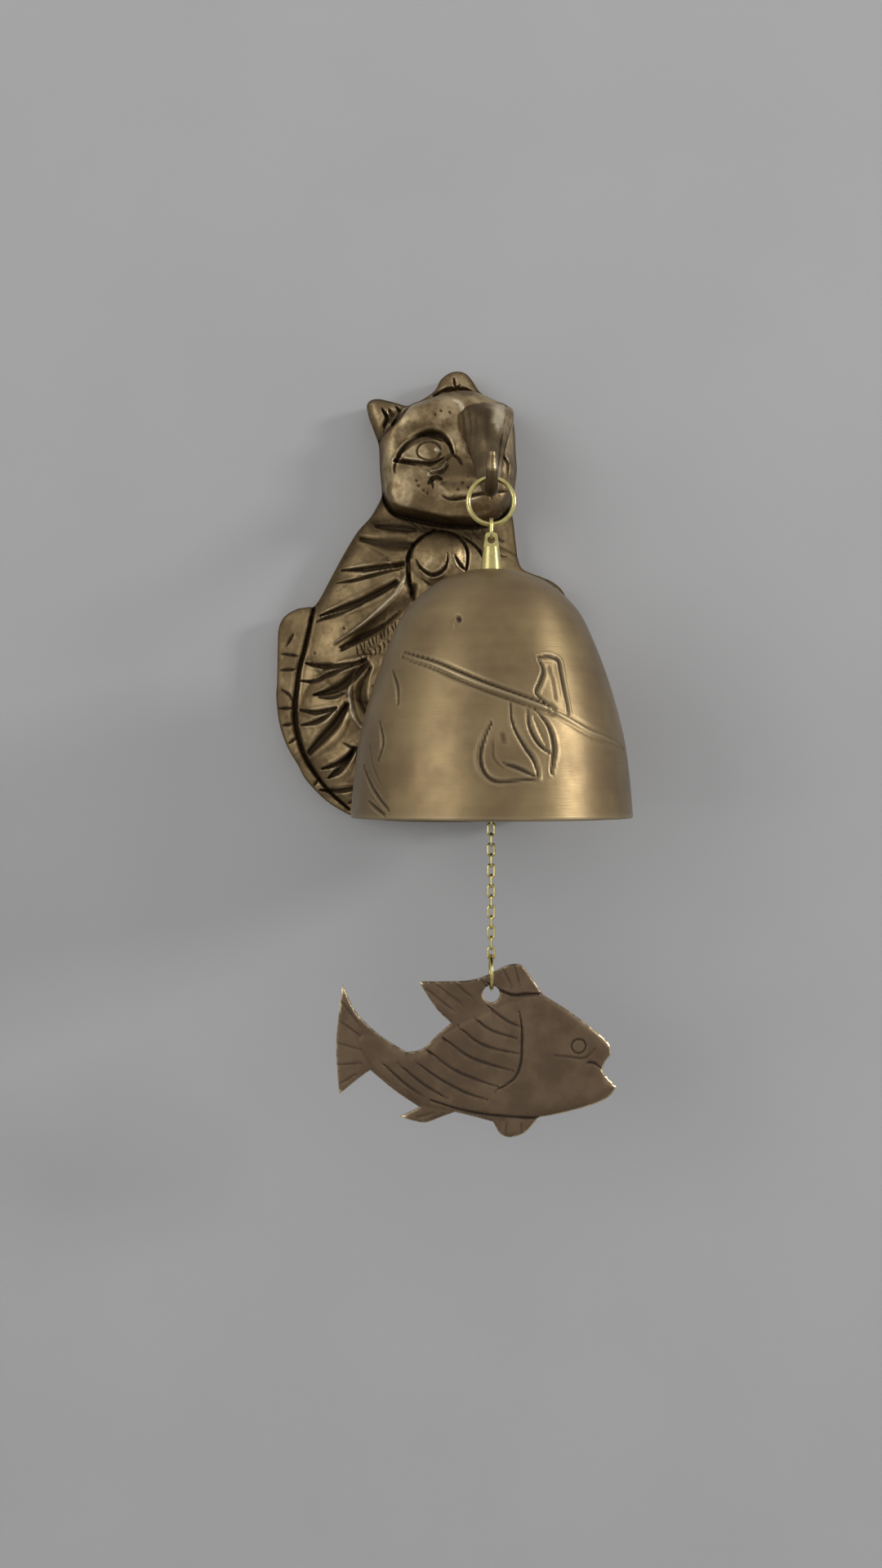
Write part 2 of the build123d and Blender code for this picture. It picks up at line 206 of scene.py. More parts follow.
def blended(a: np.ndarray, b: np.ndarray, soft: float) -> np.ndarray:
    """The higher of two heights, with a soft valley where they meet."""
    near = np.clip(0.5 + 0.5 * (a - b) / soft, 0, 1)
    return b + (a - b) * near + soft * near * (1 - near)


def rough_cast(points: np.ndarray, size: float, seed: float) -> np.ndarray:
    """Even unevenness over a face, from -1 to 1, with lumps of about `size` millimetres."""
    return np.array([noise.noise(Vector((x / size, y / size, seed))) for x, y in points])


@dataclass(frozen=True)
class Dome:
    """An oval dome on a relief: its middle, half width, half height, rise and turn in degrees."""

    x: float
    z: float
    wide: float
    tall: float
    rise: float
    turn: float = 0.0

    def share(self, points: np.ndarray) -> np.ndarray:
        """How high the dome is at some places, from 0 at its edge to 1 in its middle."""
        c, s = math.cos(math.radians(self.turn)), math.sin(math.radians(self.turn))
        x, z = points[:, 0] - self.x, points[:, 1] - self.z
        u, v = (x * c + z * s) / self.wide, (z * c - x * s) / self.tall
        return np.sqrt(np.clip(1 - u * u - v * v, 0, 1))

    def round(self, points: np.ndarray) -> np.ndarray:
        """Its height where it is as round as a ball."""
        return self.rise * self.share(points)

    def soft(self, points: np.ndarray) -> np.ndarray:
        """Its height where it runs out softly at its edge."""
        return self.rise * self.share(points) ** 3


@dataclass(frozen=True)
class Limb:
    """A rounded limb on a relief: its middle line, edge height, half width, rise and softness."""

    bone: Route
    base: float
    reach: float
    rise: float
    soft: float

    def over(self, points: np.ndarray, high: np.ndarray) -> np.ndarray:
        """A relief's heights at some places with the limb laid over them."""
        far, _ = reach_of(points, np.array(self.bone))
        limb = self.base + rounded(self.reach - far, self.reach, self.rise) * (far < self.reach)
        return blended(limb, high, self.soft)


@dataclass(frozen=True)
class Mark:
    """A line worked into a face: a groove where its depth is positive, a ridge where it is negative.

    Its ends are the shares of its width that are left there, its lip is how far the metal beside it
    stands up, and its darkening is how dark it is painted: grime in most marks, painted shade in a few.
    """

    route: Route
    width: float
    depth: float
    ends: Pair = (0.35, 0.35)
    lip: float = 0.0
    stain: float = 1.0

    def cover(self, points: np.ndarray) -> tuple[np.ndarray, np.ndarray, np.ndarray]:
        """Where the mark lies: the numbers of the points near it, its share at each and its lip's share."""
        line = curve_through(self.route)
        margin = MARK_REACH * self.width
        low, high = line.min(0) - margin, line.max(0) + margin
        near = np.flatnonzero(np.all((points > low) & (points < high), axis=1))
        if not near.size:
            return near, np.zeros(0), np.zeros(0)
        far, along = reach_of(points[near], line)
        share = np.interp(along, (0, FULL_FROM, FULL_TO, 1), (self.ends[0], 1, 1, self.ends[1]))
        across = far / (self.width * share + 1e-6)
        beside = np.clip(1 - ((across - LIP_AT) / LIP_SPREAD) ** 2, 0, 1)
        return near, np.clip(1 - across * across, 0, 1), beside

    def press(self, points: np.ndarray, heights: np.ndarray, stain: np.ndarray) -> None:
        """Works the mark into the heights and the darkening of a face's points."""
        near, core, beside = self.cover(points)
        heights[near] += self.lip * beside - self.depth * core**2
        stain[near] = np.maximum(stain[near], self.stain * core)


def lines(width: float, depth: float, *routes: Route, **more: Any) -> list[Mark]:
    """Marks of one width and depth along several routes."""
    return [Mark(route, width, depth, **more) for route in routes]


# Meshes


@dataclass
class Sheet:
    """A face cut into triangles: its points, its triangles and the points on each closed edge."""

    points: np.ndarray
    faces: np.ndarray
    rims: list[np.ndarray]

    @staticmethod
    def cut(loops: Sequence[np.ndarray], inner: np.ndarray, convex: bool = False) -> Sheet:
        """Triangles that fill an outline.

        Args:
            loops: the outline, then any holes in it.
            inner: the points between them.
            convex: whether the outline has no corner that turns inwards.

        Returns:
            The sheet.
        """
        given = [tuple(p) for loop in loops for p in loop] + [tuple(p) for p in inner]
        edges, start = [], len(loops[0])
        for loop in loops[1:]:
            count = len(loop)
            edges += [(start + i, start + (i + 1) % count) for i in range(count)]
            start += count
        area = np.cross(loops[0], np.roll(loops[0], -1, axis=0)).sum()
        whole = list(range(len(loops[0])))[:: 1 if area > 0 else -1]
        outline = [] if convex else [whole]
        cut = delaunay_2d_cdt([Vector(p) for p in given], edges, outline, 0 if convex else 1, 1e-6, True)
        place = np.full(len(given), -1)
        for out, ids in enumerate(cut[3]):
            place[ids] = out
        points = np.array([tuple(p) for p in cut[0]])
        faces = np.array(cut[2])
        faces = faces[inside(points[faces].mean(1), loops[0])]
        a, b, c = (points[faces[:, i]] for i in range(3))
        sliver = np.isin(faces, place[: len(loops[0])]).all(1) & (np.abs(np.cross(b - a, c - a)) < SLIVER)
        faces = faces[~sliver]
        for hole in loops[1:]:
            faces = faces[~inside(points[faces].mean(1), hole)]
        rims, start = [], 0
        for loop in loops:
            rims.append(place[start : start + len(loop)])
            start += len(loop)
        return Sheet(points, faces, rims)


def lattice(outline: np.ndarray, gap: float, keep: Chooser | None = None) -> np.ndarray:
    """Evenly spaced points inside an outline.

    Args:
        outline: the closed outline.
        gap: the distance between points.
        keep: tells which of the points are wanted.

    Returns:
        The points, all of them clear of the outline.
    """
    low, high = outline.min(0), outline.max(0)
    rows = np.arange(low[1], high[1], gap * ROW_SHARE)
    columns = np.arange(low[0], high[0], gap)
    x, y = np.meshgrid(columns, rows)
    x[::2] += gap / 2
    points = np.stack([x.ravel(), y.ravel()], axis=1)
    if keep:
        points = points[keep(points)]
    points = points[inside(points, outline)]
    return points[reach_of(points, outline, True)[0] > gap * CLEAR_SHARE]


def neighbours(count: int, faces: np.ndarray) -> tuple[np.ndarray, np.ndarray, np.ndarray]:
    """The two ends of every edge of some triangles, and how many edges each point has."""
    pairs = np.vstack([faces[:, [0, 1]], faces[:, [1, 2]], faces[:, [2, 0]]])
    pairs = np.unique(np.sort(pairs, axis=1), axis=0)
    a, b = np.r_[pairs[:, 0], pairs[:, 1]], np.r_[pairs[:, 1], pairs[:, 0]]
    return a, b, np.maximum(np.bincount(a, minlength=count), 1)


def relax(values: np.ndarray, faces: np.ndarray, passes: int) -> np.ndarray:
    """Values at a mesh's points, evened out between neighbours."""
    a, b, degree = neighbours(len(values), faces)
    for _ in range(passes):
        values = 0.5 * values + 0.5 * np.bincount(a, values[b], minlength=len(values)) / degree
    return values


def new_object(
    name: str, points: np.ndarray, faces: Iterable[Sequence[int]], closed: bool = True
) -> bpy.types.Object:
    """A smooth mesh object.

    Args:
        name: its name.
        points: its points in millimetres.
        faces: its faces.
        closed: whether it is closed, so that its faces are turned outwards.

    Returns:
        The object.
    """
    mesh = bpy.data.meshes.new(name)
    mesh.from_pydata((np.asarray(points) * MM).tolist(), [], [list(map(int, f)) for f in faces])
    if closed:
        work = bmesh.new()
        work.from_mesh(mesh)
        bmesh.ops.recalc_face_normals(work, faces=work.faces)
        work.to_mesh(mesh)
        work.free()
    mesh.polygons.foreach_set("use_smooth", np.ones(len(mesh.polygons), bool))
    obj = bpy.data.objects.new(name, mesh)
    bpy.context.scene.collection.objects.link(obj)
    return obj


def mesh_arrays(obj: bpy.types.Object) -> tuple[np.ndarray, np.ndarray, np.ndarray]:
    """A mesh's points in millimetres, its normals and its triangles."""
    mesh = obj.data
    count = len(mesh.vertices)
    points, normals = np.zeros(count * 3), np.zeros(count * 3)
    mesh.vertices.foreach_get("co", points)
    mesh.vertex_normals.foreach_get("vector", normals)
    mesh.calc_loop_triangles()
    triangles = np.zeros(len(mesh.loop_triangles) * 3, int)
    mesh.loop_triangles.foreach_get("vertices", triangles)
    return points.reshape(-1, 3) / MM, normals.reshape(-1, 3), triangles.reshape(-1, 3)


def crisp(obj: bpy.types.Object, degrees: float) -> None:
    """Keeps a smooth mesh's edges crisp where it bends by more than an angle."""
    obj.data.set_sharp_from_angle(angle=math.radians(degrees))


def leave_trace(obj: bpy.types.Object, trace: Trace, values: np.ndarray) -> None:
    """Stores a value for each point of a mesh, for its finish to read."""
    layer = obj.data.attributes.new(trace.value, "FLOAT", "POINT")
    layer.data.foreach_set("value", np.clip(values, 0, 1).astype(np.float32))


def trace_relief(obj: bpy.types.Object, gain: float, passes: int = 2, rubbed_and_highlight: Any = 0.0) -> None:
    """Finds a mesh's hollows and crests, where grime stays and where hands polish.

    Args:
        obj: the object.
        gain: how strongly a bend counts.
        passes: how often the bends are evened out.
        rubbed_and_highlight: what is made bright besides the crests: worn edges on the fish, painted
            highlights and a lighter head on the cat.
    """
    points, normals, faces = mesh_arrays(obj)
    a, b, degree = neighbours(len(points), faces)
    step = points[a] - points[b]
    size = np.maximum(np.linalg.norm(step, axis=1), 1e-6)
    bend = np.bincount(a, np.einsum("ij,ij->i", step, normals[a]) / size, minlength=len(points)) / degree
    bend = relax(bend, faces, passes) * gain
    leave_trace(obj, Trace.HOLLOW, -bend)
    leave_trace(obj, Trace.CREST, np.maximum(bend, rubbed_and_highlight))


def keep_in(obj: bpy.types.Object, node: str) -> None:
    """Keeps a mesh inside the box of the node that it stands for."""
    low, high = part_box(node)
    mesh = obj.data
    points = np.zeros(len(mesh.vertices) * 3)
    mesh.vertices.foreach_get("co", points)
    held = np.clip(points.reshape(-1, 3), np.array(low), np.array(high))
    moved = float(np.abs(held - points.reshape(-1, 3)).max()) / MM
    mesh.vertices.foreach_set("co", held.ravel())
    mesh.update()
    log.info("%s fitted to %s, at most %.2f mm", obj.name, node, moved)


def shell_rows(rings: Sequence[np.ndarray], capped: bool = True) -> list[list[int]]:
    """The faces between rings of points that follow one another, each ring with as many points.

    Args:
        rings: the rings, in order.
        capped: whether the first ring and the last are closed by a face each.

    Returns:
        The faces, on the rings' points counted one ring after another.
    """
    count = len(rings[0])
    faces = []
    for row in range(len(rings) - 1):
        for i in range(count):
            j = (i + 1) % count
            faces.append([row * count + i, row * count + j, (row + 1) * count + j, (row + 1) * count + i])
    if capped:
        faces.append(list(reversed(range(count))))
        last = (len(rings) - 1) * count
        faces.append([last + i for i in range(count)])
    return faces


# Finishes


class Value:
    """A socket in shader maths, so that nodes are written as sums."""

    def __init__(self, graph: Graph, socket: bpy.types.NodeSocket) -> None:
        """Keeps the graph that the socket belongs to."""
        self.graph, self.socket = graph, socket

    def _with(self, operation: str, first: Any, second: Any) -> Value:
        """One Math node on two values."""
        return self.graph.node("ShaderNodeMath", {"operation": operation}, {0: first, 1: second}).out(0)

    def __add__(self, other: Any) -> Value:
        """The sum."""
        return self._with("ADD", self, other)

    def __sub__(self, other: Any) -> Value:
        """The difference."""
        return self._with("SUBTRACT", self, other)

    def __mul__(self, other: Any) -> Value:
        """The product."""
        return self._with("MULTIPLY", self, other)

    def __truediv__(self, other: Any) -> Value:
        """The quotient."""
        return self._with("DIVIDE", self, other)

    def __rsub__(self, other: Any) -> Value:
        """The difference from a number."""
        return self._with("SUBTRACT", other, self)

    __radd__ = __add__
    __rmul__ = __mul__

    def power(self, other: float) -> Value:
        """The value raised to a power."""
        return self._with("POWER", self, other)

    def held(self) -> Value:
        """The value kept between 0 and 1."""
        return self.graph.node("ShaderNodeClamp", {}, {0: self}).out(0)

    def step(self, low: float, high: float) -> Value:
        """A soft step from 0 at `low` to 1 at `high`."""
        settings = {"interpolation_type": "SMOOTHSTEP"}
        return self.graph.node("ShaderNodeMapRange", settings, {0: self, 1: low, 2: high}).out(0)


class Node:
    """A shader node whose outputs are read as values."""

    def __init__(self, graph: Graph, node: bpy.types.Node) -> None:
        """Keeps the node."""
        self.graph, self.node = graph, node

    def out(self, key: int | str) -> Value:
        """One of the node's outputs."""
        return Value(self.graph, self.node.outputs[key])


class Graph:
    """The node tree of one material."""

    def __init__(self, name: str) -> None:
        """Starts an empty material."""
        self.material = bpy.data.materials.new(name)
        self.material.use_nodes = True
        self.tree = self.material.node_tree
        self.tree.nodes.clear()
        self.place = self.node("ShaderNodeTexCoord").out("Object")

    def node(self, kind: str, settings: dict | None = None, values: dict | None = None) -> Node:
        """Makes any node.

        Args:
            kind: the node's type.
            settings: its settings, made first.
            values: the values or links of its sockets.

        Returns:
            The node.
        """
        node = self.tree.nodes.new(kind)
        for name, value in (settings or {}).items():
            setattr(node, name, value)
        for key, value in (values or {}).items():
            if isinstance(value, Value):
                self.tree.links.new(value.socket, node.inputs[key])
            else:
                node.inputs[key].default_value = value
        return Node(self, node)

    def trace(self, trace: Trace) -> Value:
        """What a shape left on the surface."""
        return self.node("ShaderNodeAttribute", {"attribute_name": trace.value}).out("Fac")

    def noise(self, place: Value, scale: float, detail: float, rough: float) -> Value:
        """Noise over some coordinates."""
        values = {"Vector": place, "Scale": scale, "Detail": detail, "Roughness": rough}
        return self.node("ShaderNodeTexNoise", {}, values).out("Fac")

    def lumps(self, size: float, detail: float = 3.0, rough: float = 0.55) -> Value:
        """Noise with lumps of about `size` millimetres."""
        return self.noise(self.place, 1 / (size * MM), detail, rough)

    def streaks(self, scale: Triple, detail: float, rough: float) -> Value:
        """Noise that is drawn out, with so many lumps a metre along each axis."""
        drawn = self.node("ShaderNodeMapping", {}, {0: self.place, 3: scale}).out(0)
        return self.noise(drawn, 1.0, detail, rough)

    def mix(self, share: Any, first: Any, second: Any) -> Value:
        """A colour between two, by share."""
        first, second = (c if isinstance(c, Value) else (*c, 1.0) for c in (first, second))
        node = self.node("ShaderNodeMix", {"data_type": "RGBA"}, {0: share, 6: first, 7: second})
        return node.out(2)

    def bump(self, height: Value, distance: float, strength: float, under: Value | None = None) -> Value:
        """A bumped normal, `distance` millimetres high, over another."""
        values = {"Height": height, "Distance": distance * MM, "Strength": strength}
        if under:
            values["Normal"] = under
        return self.node("ShaderNodeBump", {}, values).out(0)

    def metal(self, values: dict[str, Any]) -> bpy.types.Material:
        """Ends the tree in a Principled surface and returns the material."""
        shader = self.node("ShaderNodeBsdfPrincipled", {}, values).out(0)
        self.node("ShaderNodeOutputMaterial", {}, {0: shader})
        return self.material


@dataclass(frozen=True)
class CastBrass:
    """Satin antique brass, dark in its hollows and worn bright on its crests, with painted shade and painted
    highlights where the cat is given them.
    """

    name: str = "cast_antique_brass"
    light: Colour = (0.43, 0.312, 0.158)
    deep: Colour = (0.245, 0.171, 0.086)
    # The dark colour serves grime and painted shade, the bright colour worn crests and painted highlights
    stain: Colour = (0.046, 0.030, 0.018)
    rubbed_and_highlight: Colour = (0.82, 0.70, 0.48)
    patch: float = 7.0
    lump: float = 2.6
    speck: float = 1.3
    grain: float = 0.5
    roughness: float = 0.4

    def material(self) -> bpy.types.Material:
        """Builds the finish."""
        g = Graph(self.name)
        patches = g.lumps(self.patch, 4).step(0.36, 0.66)
        fine = g.lumps(self.grain, 3, 0.6)
        specks = g.lumps(self.speck, 2).step(0.62, 0.74)
        hollow = (g.trace(Trace.HOLLOW) * 1.2 + fine * 0.3 - 0.15).held()
        # Darkening: grime, and painted shade on the arm, cheek, nape and eyelid
        held_dirt_and_shade = g.trace(Trace.STAIN_AND_SHADE) * (0.8 + 0.4 * patches) + hollow * 0.8
        dirt_and_shade = (held_dirt_and_shade + specks * 0.2 + (1 - patches) * 0.12).held()
        # Crests: worn crests, with painted highlights on the arm, the eye, the mouth's corner and the
        # forehead
        crest = (g.trace(Trace.CREST) - dirt_and_shade * 0.8 + (patches - 0.5) * 0.2).held()
        colour = g.mix(patches, self.deep, self.light)
        colour = g.mix(crest * 0.85, colour, self.rubbed_and_highlight)
        colour = g.mix(dirt_and_shade.power(0.8) * 0.93, colour, self.stain)
        bump = g.bump(fine, 0.08, 0.6)
        bump = g.bump(g.lumps(self.lump, 3), 0.3, 0.6, bump)
        return g.metal(
            {
                "Base Color": colour,
                "Metallic": 1.0 - crest * 0.3,
                "Roughness": self.roughness + dirt_and_shade * 0.28 - crest * 0.12 + (fine - 0.5) * 0.12,
                "Normal": bump,
            }
        )


@dataclass(frozen=True)
class SpunBrass:
    """Olive-brown brass with fine turned lines round its axis."""

    name: str = "spun_olive_brass"
    light: Colour = (0.385, 0.282, 0.142)
    deep: Colour = (0.24, 0.165, 0.09)
    stain: Colour = (0.05, 0.034, 0.02)
    rubbed_and_highlight: Colour = (0.66, 0.56, 0.36)
    turned: Triple = (140.0, 140.0, 5200.0)
    banded: Triple = (25.0, 25.0, 420.0)
    cloud: float = 14.0
    lump: float = 9.0
    roughness: float = 0.4
    brushed: float = 0.55

    def material(self) -> bpy.types.Material:
        """Builds the finish."""
        g = Graph(self.name)
        turned = g.streaks(self.turned, 3, 0.7)
        bands = g.streaks(self.banded, 2, 0.5)
        cloud = g.lumps(self.cloud, 3).step(0.34, 0.68)
        dirt_and_shade = (g.trace(Trace.STAIN_AND_SHADE) * 0.95 + g.trace(Trace.HOLLOW) * 0.7 + (turned - 0.62) * 0.6).held()
        crest = (g.trace(Trace.CREST) * 0.8 - dirt_and_shade).held()
        colour = g.mix((cloud * 0.6 + bands * 0.5 + turned * 0.4 - 0.25).held(), self.deep, self.light)
        colour = g.mix(crest, colour, self.rubbed_and_highlight)
        colour = g.mix(dirt_and_shade * 0.9, colour, self.stain)
        bump = g.bump(turned, 0.035, 0.9)
        bump = g.bump(g.lumps(self.lump, 2), 0.3, 0.25, bump)
        return g.metal(
            {
                "Base Color": colour,
                "Metallic": 1.0 - dirt_and_shade * 0.5,
                "Roughness": self.roughness + dirt_and_shade * 0.3 + (1 - cloud) * 0.06 + (bands - 0.5) * 0.1,
                "Anisotropic": self.brushed,
                "Anisotropic Rotation": 0.25,
                "Normal": bump,
            }
        )


@dataclass(frozen=True)
class WireBrass:
    """Bright yellow brass of drawn wire and turned fittings, lightly tarnished."""

    name: str = "bright_wire_brass"
    bright: Colour = (0.66, 0.57, 0.235)
    tarnished: Colour = (0.45, 0.37, 0.15)
    roughness: float = 0.22

    def material(self) -> bpy.types.Material:
        """Builds the finish."""
        g = Graph(self.name)
        tarnish = g.lumps(1.6, 4).step(0.42, 0.72)
        drawn = g.lumps(0.25, 2)
        return g.metal(
            {
                "Base Color": g.mix(tarnish * 0.7, self.bright, self.tarnished),
                "Metallic": 1.0,
                "Roughness": self.roughness + tarnish * 0.18 + (drawn - 0.5) * 0.08,
                "Normal": g.bump(drawn, 0.012, 0.5),
            }
        )


@dataclass(frozen=True)
class DarkBrass:
    """Brown patina over brass, worn bright along the edges."""

    name: str = "dark_patina_brass"
    patina: Colour = (0.20, 0.135, 0.08)
    browner: Colour = (0.145, 0.097, 0.058)
    stain: Colour = (0.022, 0.014, 0.009)
    worn: Colour = (0.78, 0.64, 0.40)

    def material(self) -> bpy.types.Material:
        """Builds the finish."""
        g = Graph(self.name)
        cloud = g.lumps(6.0, 4).step(0.35, 0.68)
        grain = g.lumps(0.45, 3)
        dirt_and_shade = (g.trace(Trace.STAIN_AND_SHADE) * 0.9 + g.trace(Trace.HOLLOW) * 0.7).held()
        worn = (g.trace(Trace.CREST) * 1.3 + (grain - 0.5) * 0.5 - dirt_and_shade * 0.6).held().step(0.3, 0.85)
        colour = g.mix(cloud, self.browner, self.patina)
        colour = g.mix(dirt_and_shade * 0.9, colour, self.stain)
        colour = g.mix(worn, colour, self.worn)
        bump = g.bump(grain, 0.04, 0.5)
        bump = g.bump(g.lumps(3.0, 3), 0.16, 0.5, bump)
        return g.metal(
            {
                "Base Color": colour,
                "Metallic": 0.75 + worn * 0.25 - dirt_and_shade * 0.3,
                "Roughness": 0.5 - worn * 0.2 + dirt_and_shade * 0.2 + (grain - 0.5) * 0.12,
                "Normal": bump,
            }
        )


@dataclass(frozen=True)
class Plaster:
    """Pale painted plaster that is seen from its front only."""

    name: str = "pale_painted_wall"
    colour: Colour = (0.485, 0.485, 0.485)
    one_sided: bool = True

    def material(self) -> bpy.types.Material:
        """Builds the finish."""
        g = Graph(self.name)
        roller = g.lumps(2.2, 3)
        tint = g.mix(g.lumps(60.0, 2).step(0.3, 0.7), tuple(0.975 * c for c in self.colour), self.colour)
        values = {"Base Color": tint, "Roughness": 0.75, "Normal": g.bump(roller, 0.05, 0.3)}
        surface = g.node("ShaderNodeBsdfPrincipled", {}, values).out(0)
        if self.one_sided:
            clear = g.node("ShaderNodeBsdfTransparent").out(0)
            behind = g.node("ShaderNodeNewGeometry").out("Backfacing")
            surface = g.node("ShaderNodeMixShader", {}, {0: behind, 1: surface, 2: clear}).out(0)
        g.node("ShaderNodeOutputMaterial", {}, {0: surface})
        return g.material


# The pieces


@dataclass
class CastCat:
    """The casting: a seated cat in relief on a flat back, with a hooked arm out of its forehead."""

    silhouette: Route = (
        (-21.0, 14.1), (-18.6, 14.6), (-14.7, 13.8), (-10.9, 12.7), (-9.0, 13.4), (-6.1, 14.6),
        (-2.8, 17.1), (-1.3, 19.9), (1.1, 21.8), (3.5, 22.3), (5.9, 21.6), (7.8, 19.4), (9.7, 16.6),
        (13.1, 14.6), (18.0, 12.2), (19.3, 6.4), (19.8, -1.8), (20.0, -5.6), (19.4, -10.4), (18.6, -16.2),
        (19.1, -20.0), (19.8, -26.2), (20.8, -32.5), (24.0, -34.6), (29.5, -36.2), (33.5, -40.3),
        (34.4, -48.0), (33.2, -58.0), (31.4, -70.0), (31.4, -86.0), (30.4, -96.0), (25.0, -101.6),
        (12.0, -103.2), (0.0, -103.6), (-16.0, -103.2), (-25.3, -101.9), (-29.0, -100.4), (-33.9, -97.1),
        (-38.9, -91.8), (-41.2, -87.6), (-44.2, -82.4), (-46.3, -76.2), (-47.2, -68.8), (-47.0, -64.6),
        (-46.8, -54.3), (-46.5, -49.4), (-44.9, -46.2), (-41.5, -44.1), (-38.3, -43.5), (-35.9, -42.6),
        (-31.1, -33.9), (-27.7, -27.7), (-24.4, -22.4), (-21.0, -18.6), (-18.6, -14.6), (-17.7, -11.8),
        (-18.2, -5.6), (-18.5, 1.1), (-19.1, 4.1), (-20.5, 7.9), (-21.9, 12.2),
    )
    body: Route = (
        (-15.5, -13.0), (-20.3, -19.2), (-24.0, -23.0), (-27.4, -28.3), (-30.8, -34.5), (-34.6, -41.0),
        (-36.9, -44.6), (-38.2, -50.0), (-39.5, -55.6), (-40.9, -60.8), (-41.6, -66.5), (-42.0, -71.3),
        (-41.8, -76.0), (-40.8, -80.8), (-39.1, -85.6), (-36.3, -90.0), (-32.6, -94.8), (-27.5, -99.0),
        (-20.0, -101.4), (-8.0, -102.0), (8.0, -102.2), (22.0, -100.8), (28.2, -95.0), (29.4, -82.0),
        (29.4, -68.0), (32.0, -52.0), (31.4, -42.5), (27.5, -38.2), (20.3, -33.5), (18.6, -20.0),
        (8.0, -8.0),
    )
    tail: Route = (
        (-37.2, -44.6), (-41.0, -44.6), (-44.4, -46.8), (-46.1, -50.0), (-46.4, -56.0), (-46.6, -64.6),
        (-46.8, -69.0), (-45.9, -76.0), (-43.9, -82.2), (-41.0, -87.2), (-38.6, -91.4), (-33.8, -96.4),
        (-29.0, -100.2), (-25.5, -102.0), (-26.5, -100.2), (-32.0, -95.6), (-36.0, -90.4), (-39.0, -85.8),
        (-40.6, -81.0), (-41.5, -76.0), (-41.8, -71.3), (-41.4, -66.5), (-40.6, -60.8), (-39.3, -55.6),
        (-38.0, -50.0),
    )
    head: Route = (
        (-18.0, -5.6), (-18.3, 1.1), (-17.6, 6.0), (-14.8, 9.6), (-10.6, 12.0), (-4.6, 14.2), (0.0, 15.8),
        (4.0, 16.6), (9.0, 16.2), (13.1, 14.4), (18.0, 12.0), (19.2, 6.4), (19.7, -1.8), (19.9, -5.6),
        (19.2, -10.4), (17.4, -15.5), (13.4, -19.3), (8.1, -20.9), (1.1, -20.7), (-4.6, -19.7),
        (-9.3, -18.6), (-13.8, -17.2), (-16.6, -14.0), (-17.5, -10.5),
    )
    near_ear: Route = (
        (-21.6, 12.4), (-20.9, 13.9), (-18.6, 14.4), (-14.7, 13.6), (-11.0, 12.4), (-9.2, 10.6),
        (-11.6, 6.6), (-15.4, 3.0), (-18.4, 2.6), (-19.3, 4.6), (-20.4, 8.0),
    )
    far_ear: Route = (
        (-3.6, 15.6), (-2.4, 17.2), (-1.1, 19.7), (1.1, 21.6), (3.5, 22.1), (5.9, 21.4), (7.6, 19.3),
        (9.5, 16.5), (10.6, 14.4), (4.0, 12.4),
    )
    arm_x: float = 11.0
    # Each station of the arm: Y, Z, slope in degrees, width, thickness, squareness, roof
    stations: tuple[tuple[float, ...], ...] = (
        (-7.0, 9.8, 60.0, 16.0, 8.0, 5.5, 0.10),
        (-13.5, 7.0, 46.0, 15.4, 7.0, 5.5, 0.18),
        (-18.5, 2.6, 44.0, 13.2, 6.0, 4.5, 0.24),
        (-26.0, -4.8, 46.0, 9.4, 4.6, 3.4, 0.26),
        (-35.5, -14.0, 38.0, 6.2, 3.9, 2.8, 0.18),
        (-43.5, -19.5, 24.0, 4.2, 3.6, 2.4, 0.04),
        (-50.0, -21.2, 0.0, 3.4, 3.4, 2.0, 0.0),
        (-53.6, -19.3, -52.0, 2.9, 2.9, 2.0, 0.0),
        (-55.2, -13.9, -80.0, 1.6, 1.6, 2.0, 0.0),
    )
    hole_radius: float = 2.4
    hole_depth: float = 6.0
    least: float = 1.1
    # The gaps between the points along the edge, where the work is fine, where it is plain and on the back
    edge_gap: float = 0.45
    fine_gap: float = 0.33
    plain_gap: float = 0.66
    back_gap: float = 3.0
    # How far over the relief a place is the arm's, and how near the wall it is the back's
    over_relief: float = 0.3
    back_depth: float = 0.9
    # The back's darkening, how much lighter the head is made, and the height above which the head lies
    back_stain: float = 0.25
    head_lightening: float = 0.16
    head_from: float = -16.0
    # The bend in degrees from which an edge is crisp
    crisp_from: float = 62.0
    # The haunch, the shoulder and the belly
    muscles: tuple[Dome, ...] = (
        Dome(-20.0, -80.0, 23.0, 23.0, 3.2), Dome(-24.0, -48.0, 17.0, 24.0, 2.0, 25.0),
        Dome(2.0, -60.0, 20.0, 34.0, 1.6),
    )
    legs: tuple[Limb, ...] = (
        Limb(((10.0, -48.0), (10.4, -99.0)), 5.2, 6.6, 4.6, 0.8),
        Limb(((23.8, -48.0), (25.0, -99.0)), 5.2, 6.6, 4.6, 0.8),
    )
    toes: tuple[Dome, ...] = (Dome(10.4, -100.6, 8.0, 4.6, 6.5), Dome(24.6, -99.8, 7.6, 4.6, 6.5))
    forearm: Limb = Limb(((3.0, -29.0), (14.0, -35.0), (24.0, -43.0)), 6.0, 8.0, 4.2, 1.0)
    paw: Dome = Dome(-2.1, -31.0, 8.0, 7.9, 3.6)
    chest: Limb = Limb(((-4.0, -34.0), (-1.0, -46.0), (2.0, -60.0)), 4.5, 8.0, 4.6, 1.0)
